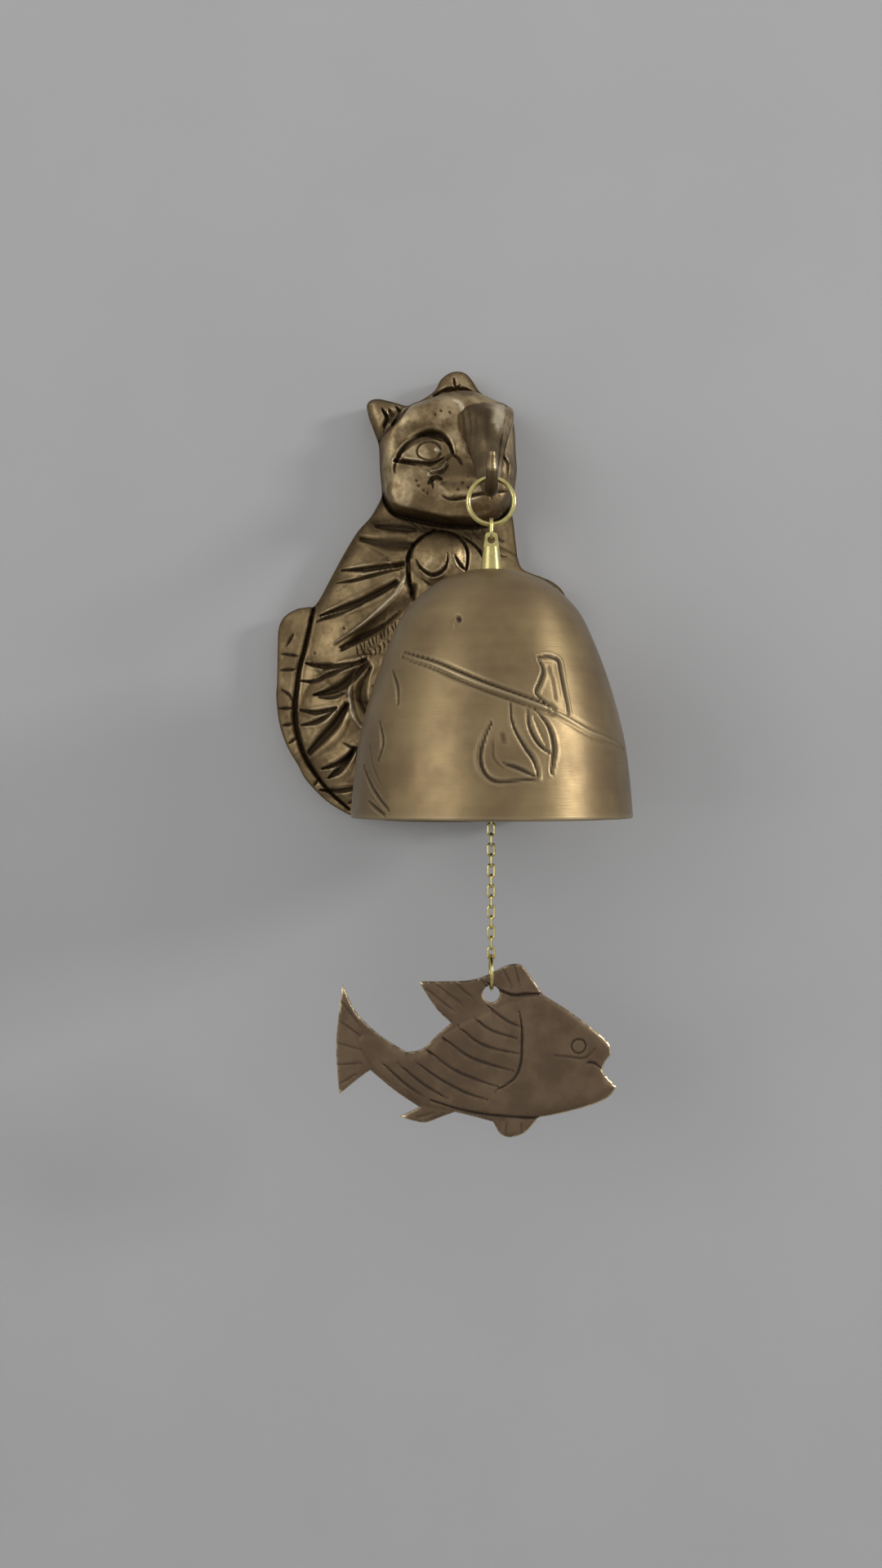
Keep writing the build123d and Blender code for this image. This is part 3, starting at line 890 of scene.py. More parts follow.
    # The muzzle, the cheek, the chin, the far cheek and the brow, then the hollow of the eye
    swells: tuple[Dome, ...] = (
        Dome(10.8, -10.4, 12.5, 9.6, 3.6), Dome(-9.6, -11.8, 9.6, 8.4, 1.4), Dome(10.8, -17.4, 7.4, 4.8, 1.3),
        Dome(16.6, -5.5, 3.4, 6.2, 1.9), Dome(-3.0, 8.4, 14.0, 6.4, 1.2, 8.0),
        Dome(-5.6, -1.6, 11.4, 7.6, -1.8, -4.0),
    )
    lids: tuple[Dome, Dome] = (Dome(-6.0, -6.4, 9.6, 8.6, 1.0), Dome(-5.4, 2.6, 10.0, 8.8, 1.0))
    # The line under the jaw, below which shade is painted over the nape, and the back's outline
    nape: Route = ((-20.0, -20.0), (-11.0, -21.5), (2.0, -23.5), (14.0, -24.0))
    back: Route = ((-17.0, -13.0), (-24.4, -22.4), (-31.1, -33.9), (-36.5, -43.0))

    def stripes(self) -> list[Mark]:
        """The dark tabby stripes cut across the back, the haunch and the tail."""
        back = [
            Mark(((-19.2, -20.9), (-14.6, -21.8), (-10.8, -22.3), (-7.9, -22.6)), 1.3, 0.9, lip=0.15),
            Mark(((-23.6, -24.5), (-17.4, -26.1), (-11.3, -26.8), (-8.9, -26.6)),
                 2.1, 1.0, lip=0.2, stain=0.85),
            Mark(((-29.0, -33.4), (-22.7, -33.6), (-17.4, -33.0), (-11.6, -32.1)),
                 0.95, 1.1, (0.3, 0.8), 0.25),
            Mark(((-30.4, -37.0), (-25.0, -36.6), (-17.4, -34.7), (-11.3, -33.1)), 0.6, 0.7, lip=0.15),
            Mark(((-34.8, -46.2), (-28.3, -44.3), (-23.1, -42.6), (-17.4, -39.7), (-13.6, -37.3)),
                 1.15, 1.25, (0.3, 0.8), 0.25),
            Mark(((-36.0, -47.8), (-32.5, -46.8), (-28.2, -45.6), (-22.9, -43.4)), 0.7, 0.8, lip=0.1),
            Mark(((-39.0, -59.2), (-34.9, -60.2), (-29.6, -60.5), (-24.9, -60.0), (-22.0, -58.9)),
                 0.95, 1.1, (0.3, 0.7), 0.2),
            Mark(((-40.5, -64.1), (-36.8, -64.4), (-33.0, -63.2), (-28.7, -61.6), (-24.9, -60.3)),
                 0.75, 0.9, lip=0.2),
            Mark(((-36.6, -68.3), (-32.0, -67.6), (-28.2, -66.0), (-24.9, -63.2), (-21.8, -60.2)),
                 1.7, 1.35, (0.15, 0.9), 0.25),
            Mark(((-35.0, -69.0), (-31.0, -69.1), (-27.6, -68.0)), 0.8, 0.8),
            Mark(((-40.6, -72.3), (-36.3, -73.2), (-32.5, -72.8), (-29.9, -72.0)),
                 0.8, 1.0, (0.4, 0.6), 0.2),
            Mark(((-40.4, -76.6), (-36.3, -76.0), (-33.0, -74.6), (-30.1, -72.3)), 0.8, 0.9, lip=0.2),
            Mark(((-37.8, -84.2), (-33.9, -80.4), (-30.1, -76.4), (-27.0, -71.2)),
                 1.75, 1.5, (0.6, 0.5), 0.3),
            Mark(((-34.4, -88.8), (-29.6, -87.4), (-26.8, -85.6), (-24.9, -83.2)),
                 1.0, 1.3, (0.3, 0.7), 0.2),
            Mark(((-32.6, -91.4), (-28.7, -88.6), (-25.3, -84.1)), 1.3, 1.3, (0.2, 0.5), 0.2),
            Mark(((-28.0, -81.7), (-24.9, -83.1), (-21.6, -82.5)), 0.5, 0.6),
            Mark(((-24.6, -83.2), (-23.0, -86.7), (-21.2, -90.2)), 0.7, 0.8),
            Mark(((-35.0, -94.6), (-29.6, -94.9), (-23.8, -93.9)), 0.9, 1.0, (0.3, 0.7), 0.2),
            Mark(((-27.0, -98.4), (-23.9, -97.0), (-21.6, -95.8)), 0.9, 0.8),
            Mark(((-16.0, -99.6), (-8.0, -98.4), (2.0, -98.6)), 0.9, 0.8),
        ]
        tail = lines(
            0.55, 0.55,
            ((-46.0, -61.2), (-41.8, -61.0)), ((-45.8, -66.6), (-43.6, -68.0), (-42.4, -70.0)),
            ((-46.4, -71.9), (-42.6, -71.8)), ((-45.4, -76.6), (-42.4, -76.2)),
            ((-44.4, -54.4), (-42.3, -51.0)), ((-43.6, -81.6), (-41.4, -80.0)),
            ((-45.8, -56.6), (-41.0, -57.2)), ((-36.6, -93.4), (-35.2, -91.4)),
        )
        return back + tail

    def folds(self) -> list[Mark]:
        """The grooves between the cat's parts and the ridges of its back and haunch."""
        ridge = (
            (-9.9, -31.0), (-10.8, -35.0), (-12.4, -38.8), (-15.4, -42.5), (-19.4, -46.2), (-24.4, -50.2),
            (-30.6, -54.2),
        )
        below = ((-8.6, -38.5), (-11.5, -43.2), (-16.5, -47.6), (-21.8, -51.5), (-28.6, -55.8))
        groove = (
            (-36.8, -43.9), (-38.1, -49.9), (-39.4, -55.6), (-40.8, -60.8), (-41.5, -66.5),
            (-42.0, -71.3), (-41.8, -76.0), (-40.8, -80.8), (-39.0, -85.6), (-36.2, -90.2),
            (-32.2, -95.2), (-26.6, -100.2),
        )
        jaw = (
            (-17.4, -12.0), (-15.9, -15.4), (-13.6, -17.9), (-9.3, -19.2), (-4.6, -20.4), (1.1, -21.3),
            (8.1, -21.5), (13.4, -20.0), (17.6, -16.6), (19.4, -12.6),
        )
        return [
            Mark(groove, 0.85, 1.5, (0.7, 0.4), 0.15, 0.9),
            Mark(jaw, 0.9, 1.9, (0.6, 0.7)),
            Mark(below, 2.6, 1.5, (0.5, 0.3), stain=0.45),
            Mark(ridge, 1.1, -1.25, (0.7, 0.25), stain=0.0),
            Mark(((-29.1, -55.3), (-23.9, -52.6), (-18.2, -49.8), (-12.5, -45.3)), 0.6, 0.7, lip=0.1),
            Mark(((-2.7, -22.6), (-6.6, -24.8), (-9.5, -28.3), (-10.3, -32.8),
                  (-10.0, -37.0), (-8.8, -41.2), (-7.0, -44.6)),
                 0.8, 2.0, (0.4, 0.4)),
            Mark(((-2.7, -22.9), (0.8, -23.3), (3.9, -24.8), (5.9, -27.8), (6.2, -31.3), (5.4, -36.0)),
                 0.6, 1.5, (0.4, 0.3)),
            Mark(((4.4, -24.4), (7.9, -26.7), (10.5, -30.2), (11.8, -35.0)), 0.6, 1.2),
            Mark(((-8.2, -31.1), (-6.5, -33.7), (-3.7, -35.5), (-1.1, -34.7), (0.5, -32.3), (0.7, -29.5)),
                 0.55, 0.9, lip=0.3, stain=0.8),
            Mark(((2.5, -29.7), (3.9, -32.3), (5.6, -33.9)), 0.5, 0.9, lip=0.25, stain=0.8),
            Mark(((-6.4, -36.4), (-3.6, -38.2), (-0.4, -37.8)), 0.45, 0.6, stain=0.7),
            Mark(((-23.0, -60.2), (-25.6, -64.6), (-26.2, -69.8), (-24.6, -75.6), (-20.5, -79.6)),
                 0.9, -0.9, stain=0.0),
            Mark(((-20.5, -61.0), (-22.6, -66.0), (-22.4, -71.0), (-19.0, -76.4)), 1.9, 1.3, stain=0.5),
            Mark(((17.0, -50.0), (16.6, -66.0), (16.8, -84.0), (17.4, -101.0)), 1.1, 2.0),
            Mark(((4.0, -54.0), (3.2, -70.0), (3.6, -86.0), (4.4, -102.0)), 1.1, 2.0),
            Mark(((-13.0, -88.0), (-4.0, -92.0), (2.6, -92.6)), 0.9, 1.3),
        ]

    def fur(self) -> list[Mark]:
        """The short cuts of the fur under the jaw, below the back's ridge and along the flank."""
        cuts = lines(
            0.32, 0.5,
            ((-6.5, -21.2), (-4.6, -22.5), (-2.0, -22.2)), ((-8.8, -20.7), (-6.0, -23.1), (-3.6, -24.0)),
            ((7.2, -22.2), (8.6, -24.3), (10.0, -25.0)), ((4.4, -21.9), (6.3, -23.8), (8.1, -26.2)),
            ((10.0, -22.4), (11.6, -24.4), (13.4, -25.0)), ((12.8, -21.8), (14.4, -24.6), (16.4, -25.4)),
            ((9.6, -26.6), (11.4, -29.2), (13.8, -30.0)), ((12.6, -26.8), (14.8, -29.4), (17.2, -30.0)),
            stain=0.85,
        )
        for i in range(15):
            t = i / 14
            x, z = -24.5 + 15.0 * t, -54.6 + 9.6 * t
            slant = 0.5 + 0.35 * math.sin(2.3 * i)
            cut = ((x, z), (x + 0.5 * slant, z - 1.7), (x + 1.3 * slant, z - 3.3))
            cuts.append(Mark(cut, 0.3, 0.55, lip=0.22, stain=0.9))
        for i in range(8):
            x, z = -23.6 + 1.25 * i, -57.4 + 0.75 * i
            cut = ((x, z), (x + 0.7, z - 1.2), (x + 0.6, z - 2.6))
            cuts.append(Mark(cut, 0.3, 0.45, lip=0.18, stain=0.9))
        for i in range(7):
            x, z = -20.2 + 0.5 * math.sin(i), -66.0 - 2.1 * i
            cuts.append(Mark(((x, z), (x + 1.3, z - 0.8), (x + 2.2, z - 2.0)), 0.35, 0.45, stain=0.8))
        for i in range(9):
            x = -30.5 + 1.9 * i
            z = -39.6 + 1.25 * i + 0.4 * math.sin(3.1 * i)
            cuts.append(Mark(((x, z), (x + 1.8, z + 0.7)), 0.22, 0.18, stain=0.6))
        return cuts

    def face(self) -> list[Mark]:
        """The eye, the mouth, the nose and the ears' folds, with painted shade under the lid and on the cheek
        and a few painted highlights.
        """
        lid = (
            (-13.4, -4.6), (-11.4, -1.3), (-8.9, 1.0), (-6.0, 2.3), (-3.2, 2.8), (-0.6, 1.9), (1.1, -0.1),
            (2.1, -2.7),
        )
        low_lid = ((-13.8, -4.7), (-10.7, -5.1), (-7.4, -5.5), (-4.6, -5.7), (-2.2, -5.2), (-0.3, -4.1))
        around = np.linspace(0.25, 6.0, 12)
        iris = tuple((-4.4 + 3.3 * math.cos(a), -2.3 + 2.5 * math.sin(a)) for a in around)
        ears = [
            Mark(((-17.6, 11.4), (-16.1, 8.7), (-16.6, 6.3), (-17.2, 4.2)), 0.75, 1.5, lip=0.2),
            Mark(((-13.9, 12.3), (-12.6, 10.4), (-13.2, 7.7), (-14.6, 5.3)), 0.8, 1.4, lip=0.2),
            Mark(((-15.6, 11.2), (-14.7, 8.8), (-15.2, 6.4)), 1.3, 0.9, stain=0.55),
            Mark(((-18.6, 2.6), (-15.6, 4.4), (-12.2, 7.6), (-9.6, 11.6)), 0.9, 0.9, stain=0.75),
            Mark(((2.4, 20.6), (2.6, 18.9), (3.0, 17.4)), 0.5, 0.9),
            Mark(((3.0, 17.4), (4.4, 18.4)), 0.4, 0.6),
            Mark(((-3.4, 15.4), (-0.6, 16.8), (2.6, 17.2), (6.0, 17.0), (9.6, 15.4)),
                 0.7, 1.2, lip=0.1, stain=0.85),
        ]
        eye = [
            Mark(lid, 0.8, 1.15, (0.7, 0.5), 0.25),
            # Painted shade under the upper lid, in a shallow groove
            Mark(((-11.6, -2.6), (-8.9, -0.2), (-6.0, 1.0), (-3.2, 1.4), (-0.8, 0.6)),
                 1.0, 0.5, (0.3, 0.3), stain=0.7),
            Mark(low_lid, 0.6, 0.95, (0.9, 0.4), 0.2),
            Mark(((-13.3, -4.8), (-13.9, -6.5), (-13.8, -8.2)), 0.45, 0.7),
            Mark(iris, 0.36, 0.35, (1.0, 1.0), stain=0.85),
            # A raised dot painted bright as the eye's glint
            Mark(((-2.3, -1.9), (-1.9, -2.2)), 0.9, -0.4, (1.0, 1.0), stain=0.0),
            Mark(((0.3, -5.0), (-1.1, -6.9), (-3.8, -7.6)), 0.55, -0.5, stain=0.0),
            Mark(((0.9, -5.8), (-0.7, -7.8), (-3.8, -8.5)), 0.5, 0.5, stain=0.6),
            Mark(((1.9, -2.9), (3.6, -4.2), (4.6, -6.2)), 0.55, 0.7, stain=0.8),
        ]
        mouth = [
            Mark(((-4.6, -11.2), (-3.6, -10.0), (-2.2, -9.2), (-1.0, -9.9)), 0.85, 1.1, (0.5, 0.4)),
            Mark(((-3.7, -10.2), (-3.3, -12.4)), 0.6, 0.7),
            Mark(((16.9, -13.4), (12.0, -14.2), (8.3, -14.8), (5.3, -15.3), (1.5, -15.4), (-1.2, -14.2)),
                 0.55, 0.7, (0.5, 0.2), stain=0.8),
            # Painted shadow of the arm on the cheek and muzzle, in two broad shallow dips
            Mark(((-1.0, -8.6), (3.0, -8.0), (8.0, -8.4)), 4.6, 0.7, (0.6, 0.8), stain=0.62),
            Mark(((-0.6, -10.8), (2.4, -11.6), (7.0, -12.0)), 2.6, 0.5, (0.5, 0.8), stain=0.6),
            Mark(((15.4, -2.6), (15.9, -4.6), (17.0, -6.4), (17.0, -9.4)), 0.6, 1.0, lip=0.15),
            Mark(((13.4, -10.8), (13.0, -13.4), (12.4, -15.8)), 0.5, 0.8),
            # A small raised dot at the mouth's corner, painted bright as a highlight
            Mark(((-4.5, -8.3), (-4.4, -9.2)), 0.5, -0.5, (1.0, 0.6), stain=0.0),
            # A low ridge down the forehead beside the arm, painted bright as a highlight
            Mark(((2.4, 11.6), (4.2, 10.4), (4.8, 7.4), (5.0, 4.0), (6.0, -0.6)),
                 0.9, -0.2, (0.7, 0.4), stain=0.0),
        ]
        dots = (
            (-7.4, -11.9), (-6.0, -13.1), (-7.9, -10.5), (1.1, 8.1), (-1.3, 8.5), (-2.9, 7.5),
            (-5.0, -13.9), (4.6, -11.2), (6.2, -12.6), (3.4, -12.9), (-36.5, -56.5), (-34.9, -92.2),
            (-28.0, -50.0),
        )
        pits = [Mark(((x, z), (x + 0.25, z - 0.2)), 0.4, 0.4, (1.0, 1.0), stain=0.75) for x, z in dots]
        return ears + eye + mouth + pits

    def trunk(self, points: np.ndarray, edge: np.ndarray) -> np.ndarray:
        """How far the body, the legs, the tail and the ears stand off the wall.

        Args:
            points: X and Z of some places, in millimetres.
            edge: how far they are from the casting's edge.

        Returns:
            The heights there.
        """
        high = 1.7 + rounded(edge, 2.6, 1.8)
        far, within = region(points, self.body)
        torso = 2.6 + rounded(far, 15.0, 6.4)
        for dome in self.muscles:
            torso += dome.round(points)
        high = np.where(within, blended(torso, high, 0.6), high)
        for leg in self.legs:
            high = leg.over(points, high)
        for toes in self.toes:
            high = blended(3.0 + toes.round(points), high, 0.8)
        far, within = region(points, self.tail)
        high = np.where(within, blended(2.0 + rounded(far, 2.7, 3.1), high, 0.3), high)
        high = self.forearm.over(points, high)
        raised = blended(8.6 + self.paw.round(points), high, 0.5)
        high = self.chest.over(points, np.where(self.paw.share(points) > 0, raised, high))
        for route, base in ((self.near_ear, 4.6), (self.far_ear, 3.4)):
            far, within = region(points, route)
            high = np.where(within, blended(base + rounded(far, 2.4, 3.4), high, 0.4), high)
        return high

    def skull(self, points: np.ndarray, far: np.ndarray) -> np.ndarray:
        """How far the head stands off the wall, from how far each place is from the head's outline."""
        x, z = points.T
        shoulder = 1.2 + 4.0 * np.clip((z + 16) / 8, 0, 1)
        high = 4.0 + rounded(far, shoulder, 8.2) + Dome(1.0, -4.0, 22.0, 24.0, 2.4).round(points)
        for swell in self.swells:
            high += swell.soft(points)
        lids = np.minimum(*(lid.share(points) for lid in self.lids))
        return high + 1.9 * np.clip(lids * 2.2, 0, 1) * (1 - ((x + 5.6) / 9.5) ** 2).clip(0, 1)

    def dirt_and_shade(
        self, points: np.ndarray, edge: np.ndarray, on_head: np.ndarray, head_edge: np.ndarray
    ) -> np.ndarray:
        """Where the casting is darkened before any line is cut: grime, toning, and painted shade over the
        nape under the jaw.

        Args:
            points: X and Z of some places, in millimetres.
            edge: how far they are from the casting's edge.
            on_head: which of them lie on the head.
            head_edge: how far they are from the head's outline.

        Returns:
            The darkening.
        """
        x, z = points.T
        cloud = 0.5 + 0.5 * rough_cast(points, 6.0, 21.0)
        nape, _ = reach_of(points, np.array(self.nape))
        back, _ = reach_of(points, np.array(self.back))
        return np.maximum.reduce([
            0.8 * faded(edge, 1.1),
            0.42 * cloud * faded(edge, 5.0) * (z < -15),
            0.3 * cloud * (z < -20) * (x < -6),
            # Painted shade under the jaw, over the nape
            (0.7 + 0.3 * cloud) * faded(nape, 6.0) * ~on_head,
            (0.6 + 0.3 * cloud) * faded(back, 3.2, 1.2) * ~on_head,
            0.55 * faded(np.abs(head_edge), 0.9),
        ])

    def heights(self, points: np.ndarray) -> tuple[np.ndarray, np.ndarray]:
        """How far the casting stands off the wall at some places, and how dark it is made there, grime and
        painted shade together.

        Args:
            points: X and Z of the places, in millimetres.

        Returns:
            The heights in millimetres and the darkening.
        """
        edge, _ = region(points, self.silhouette)
        high = self.trunk(points, edge)
        far, within = region(points, self.head)
        high = np.where(within, blended(self.skull(points, far), high, 0.5), high)
        stain = self.dirt_and_shade(points, edge, within, far)
        for mark in self.folds() + self.stripes() + self.fur() + self.face():
            mark.press(points, high, stain)
        high += 0.16 * rough_cast(points, 4.5, 3.0) + 0.07 * rough_cast(points, 1.3, 9.0)
        return np.maximum(high, self.least), stain

    def is_fine(self, points: np.ndarray) -> np.ndarray:
        """Which places need the fine lattice: all that the bell leaves in sight."""
        x, z = points.T
        return (z > -38) | (x < -14 - 0.12 * (z + 38))

    def relief(self) -> Surface:
        """The relief with its side walls, its flat back and the nail hole, as points and faces."""
        rim = evenly(curve_through(self.silhouette, closed=True), self.edge_gap, True)
        fine = lattice(rim, self.fine_gap, self.is_fine)
        front = Sheet.cut([rim], np.vstack([fine, lattice(rim, self.plain_gap, lambda p: ~self.is_fine(p))]))
        high = relax(self.heights(front.points)[0], front.faces, 1)
        bore = circle(self.hole_radius, 40)
        clear = self.hole_radius + 1
        back = Sheet.cut([rim, bore], lattice(rim, self.back_gap, lambda p: np.hypot(*p.T) > clear))
        points = [
            np.stack([flat[:, 0], np.broadcast_to(-depth, len(flat)), flat[:, 1]], axis=1)
            for flat, depth in ((front.points, high), (back.points, 0.0), (bore, self.hole_depth))
        ]
        behind, end = len(front.points), len(front.points) + len(back.points)
        faces = front.faces.tolist() + (back.faces[:, ::-1] + behind).tolist()
        foot, mouth = back.rims[0] + behind, back.rims[1] + behind
        floor = end + np.arange(len(bore))
        for near, far in ((front.rims[0], foot), (floor, mouth)):
            for a, b, c, d in zip(near, np.roll(near, -1), np.roll(far, -1), far):
                faces.append([b, a, d, c])
        faces.append(floor.tolist())
        return np.vstack(points), faces

    def arm(self) -> Surface:
        """The hooked arm with its roofed back, as points and faces."""
        table = [curve_through([s[i : i + 2] for s in self.stations], 7) for i in (0, 2, 4)]
        table.append(curve_through([(s[6], 0.0) for s in self.stations], 7)[:, :1])
        c, s = circle(1.0, 64).T
        rings = []
        for y, z, slope, width, thick, square, roof in np.hstack(table):
            u = width / 2 * np.sign(c) * np.abs(c) ** (2 / square)
            v = thick / 2 * np.sign(s) * np.abs(s) ** (2 / square)
            ridge = width * (0.5 - np.abs(u) / (width / 2))
            groove = 7.0 * faded(np.abs(u + 0.3), 1.1) ** 2
            side_groove = 3.5 * faded(np.abs(u - 0.36 * width), 0.8) ** 2
            for lift in (ridge, -groove, -side_groove):
                v += (v > 0) * roof * lift
            lean = math.radians(slope)
            rings.append(np.stack([self.arm_x + u, y - v * math.sin(lean), z + v * math.cos(lean)], axis=1))
        return np.vstack(rings), shell_rows(rings)

    def arm_stain_shade_and_highlight(self, points: np.ndarray, deep: np.ndarray) -> tuple[np.ndarray, np.ndarray]:
        """How the arm is coloured, with painted shade and painted highlights.

        Args:
            points: the places on it, in millimetres.
            deep: how far the relief under each place stands off the wall.

        Returns:
            The grime along its groove, its streaks and its root, painted shade on its left side and lower
            right half, a darker hook end, and painted highlights on its right facet, its right edge and two
            strips down its lower part.
        """
        u, out = points[:, 0] - self.arm_x, -points[:, 1]
        tip = ramp(out, 47, 4) * (points[:, 2] < -18)
        streak = (np.sin(points[:, 0] * 4.1 + 0.9 * np.sin(0.5 * out)) > 0.2) * (u < -0.8)
        groove = faded(np.abs(u + 0.3), 0.8, 1.2) * ramp(out, 34, -8)
        # Dark streaks of its striations, and painted shade over the whole left side
        left_side = 0.26 * streak * ramp(out, 30, -8) + 0.42 * ramp(-u, 0.3, 2.0)
        # Painted shade on the right half where the arm turns steeply down
        below = 0.5 * ramp(out, 22, 4) * ramp(out, 35, -4) * (u > 0)
        root = 0.8 * faded(out - deep, 1.6)
        # Painted highlight on the right facet near the root, which clears the darkening under it
        facet = np.clip(4 * (1.1 - np.abs(u - 2.7) / 2.8 - np.clip((out - 18.5) / 7, 0, 2)), 0, 1)
        # Painted highlight along the right edge
        half = 0.36 * np.clip(20 - 0.36 * out, 3, 15)
        edge = 0.6 * faded(np.abs(u - half), 0.9, 1.3)
        # Painted highlights in two strips down the lower arm, short of the hook's end
        strips = 0.8 * faded(np.abs(np.abs(u) - 1.1), 0.5) * ramp(out, 38, 5) * (1 - tip)
        stain = np.maximum.reduce([groove, left_side, below, 0.7 * tip, root])
        return stain * (1 - facet), np.maximum.reduce([facet, edge, strips])

    def build(self) -> bpy.types.Object:
        """Makes the casting in place of its node and dresses it."""
        cat = new_object("cast_cat", *self.relief())
        arm = new_object("arm_blank", *self.arm())
        joint = cat.modifiers.new("arm_joint", "BOOLEAN")
        joint.object, joint.operation, joint.solver = arm, "UNION", "MANIFOLD"
        joined = bpy.data.meshes.new_from_object(cat.evaluated_get(bpy.context.evaluated_depsgraph_get()))
        cat.modifiers.clear()
        cat.data = joined
        bpy.data.objects.remove(arm)
        keep_in(cat, "cat_plaque")
        points, _, _ = mesh_arrays(cat)
        high, stain = self.heights(points[:, [0, 2]])
        on_arm = -points[:, 1] > high + self.over_relief
        behind = -points[:, 1] < self.back_depth
        # The arm's grime and painted shade, and its painted highlights
        arm_stain_and_shade, rubbed_and_highlight = self.arm_stain_shade_and_highlight(points, high)
        # The ridge marks come out bright: worn ridges, and the painted highlights of the glint, the mouth's
        # corner and the forehead
        ridges = np.zeros(len(points))
        for mark in self.folds() + self.face():
            if mark.depth < 0:
                near, core, _ = mark.cover(points[:, [0, 2]])
                ridges[near] = np.maximum(ridges[near], core)
        crisp(cat, self.crisp_from)
        off_arm = np.where(behind, self.back_stain, stain)
        leave_trace(cat, Trace.STAIN_AND_SHADE, np.where(on_arm, arm_stain_and_shade, off_arm))
        # Crests: the ridge marks, and the head above head_from made a little lighter
        crests = np.maximum(ridges * (stain < 0.5), self.head_lightening * (points[:, 2] > self.head_from))
        trace_relief(cat, 2.6, 2, np.where(on_arm, rubbed_and_highlight, crests))
        cat.data.materials.clear()
        cat.data.materials.append(CastBrass().material())
        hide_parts("cat_plaque")
        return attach(cat, "plaque")


@dataclass
class BrassBell:
    """The bell: a spun body with a twig and its leaves in low relief."""

    axis: Pair = (11.0, -50.0)
    rim_z: float = -101.007
    height: float = 59.5
    rim_radius: float = 34.0
    wall: float = 1.9
    bore: float = 1.72
    # Shares of the rim's radius and of the height, from the crown to the rim
    profile: Route = (
        (0.124, 1.0), (0.26, 0.983), (0.435, 0.933), (0.606, 0.84), (0.72, 0.717), (0.838, 0.534),
        (0.932, 0.333), (0.974, 0.167), (1.0, 0.0),
    )
    # How many millimetres of the unrolled bell a degree is taken as
    degree: float = 0.5
    row_gap: float = 0.45
    # The angle either side of the front to which the columns are close, and their spacing there and behind
    worked_to: float = 104.0
    front_step: float = 0.8
    back_step: float = 2.4
    # How far the rim's outer edge is eased, how stained the inside is, and which of the rows it keeps
    rim_ease: float = 0.25
    inside_stain: float = 0.3
    inside_every: int = 5

    def along(self, *places: Pair) -> Route:
        """A route on the unrolled bell, from angles to the right in degrees and heights over the rim."""
        return tuple((angle * self.degree, high) for angle, high in places)

    def marks(self) -> list[Mark]:
        """The twig, its leaves and the small dents."""
        raised = {"lip": -0.42, "stain": 0.0}
        twig = self.along((-52, 37.6), (-31, 34.8), (-16.5, 31.9), (-4.7, 29.4), (8, 27.0), (22.5, 24.3))
        onward = self.along((22.5, 24.3), (31.7, 22.0), (41.9, 19.6), (55, 17.9), (70, 16.2))
        upper = self.along((-52, 38.4), (-31, 35.6), (-16.5, 32.8), (-4.7, 30.3), (8, 27.9), (22.5, 25.4))
        lower = self.along((-46, 35.9), (-31, 33.8), (-16.5, 30.9), (-4.7, 28.4), (8, 26.0), (16, 24.5))
        leaves = [
            self.along((20.0, 35.6), (21.7, 33.1), (19.4, 30.5), (16.9, 27.9), (21.3, 25.7)),
            self.along((19.6, 36.0), (25.0, 36.4), (30.6, 35.6),
                       (30.8, 33.2), (30.8, 28.4), (31.5, 23.1)),
            self.along((12.4, 24.6), (12.9, 20.3), (16.3, 16.6), (21.3, 14.4)),
            self.along((15.6, 24.5), (20.9, 20.5), (22.5, 16.2), (21.6, 13.1), (20.5, 10.0)),
            self.along((5.3, 25.7), (6.3, 20.8), (10.1, 16.4), (14.0, 12.9), (15.6, 9.1)),
            self.along((-2.0, 21.6), (-4.6, 18.4), (-6.5, 14.1), (-5.0, 10.6),
                       (-0.6, 8.6), (7.4, 8.8), (15.4, 9.2)),
            self.along((2.1, 12.5), (7.8, 11.4), (14.6, 9.6)),
            self.along((-66.0, 12.2), (-54.5, 6.5), (-44.6, 2.2)),
            self.along((-58.3, 4.2), (-46.1, 1.0)),
            self.along((-57.1, 34.2), (-49.6, 30.2), (-46.0, 25.7)),
            self.along((-57.2, 22.4), (-52.0, 17.7), (-53.6, 13.3)),
        ]
        veins = [
            self.along((14.4, 23.4), (17.0, 19.6), (20.0, 15.2)),
            self.along((24.6, 34.4), (25.4, 30.6), (25.6, 26.6)),
            self.along((-1.4, 17.6), (-1.6, 14.0), (2.0, 11.2)),
            self.along((-62, 17), (-57, 12), (-50, 8)),
        ]
        return [
            Mark(twig, 0.62, -0.36, (0.5, 1.0), **raised),
            Mark(onward, 0.6, -0.2, (0.8, 0.3), -0.2, 0.0),
            *lines(0.36, 0.4, upper, ends=(0.5, 0.6)),
            *lines(0.3, 0.2, lower, ends=(0.4, 0.5), stain=0.6),
            *lines(0.5, 0.5, *leaves, ends=(0.5, 0.4), lip=0.14),
            *lines(0.35, 0.22, *veins, stain=0.5),
            Mark(self.along((2.0, 18.6), (2.5, 17.4)), 1.0, 0.35, (0.9, 0.9), stain=0.6),
            Mark(self.along((-20.9, 45.3), (-20.1, 44.8)), 0.75, 0.7, (1.0, 1.0)),
            Mark(self.along((-23.6, 44.6), (-22.2, 43.0)), 0.3, -0.3, stain=0.0),
            Mark(self.along((-22.8, 45.2), (-21.6, 43.8)), 0.3, -0.3, stain=0.0),
        ]

    def section(self) -> tuple[np.ndarray, np.ndarray, np.ndarray]:
        """The wall's outside and inside as radii and heights from the crown down, and the way out of it."""
        scale = np.array([self.rim_radius, self.height])
        outer = evenly(curve_through(np.array(self.profile) * scale, 12), self.row_gap)
        slope = np.gradient(outer, axis=0)
        slope /= np.linalg.norm(slope, axis=1)[:, None]
        lift = np.stack([-slope[:, 1], slope[:, 0]], axis=1)
        inner = outer - self.wall * lift
        inner[:, 1] = np.maximum(inner[:, 1], 0.0)
        inner[0] = (outer[0][0], self.height - self.wall)
        return outer, inner[inner[:, 1] < inner[0][1] + 1e-6], lift

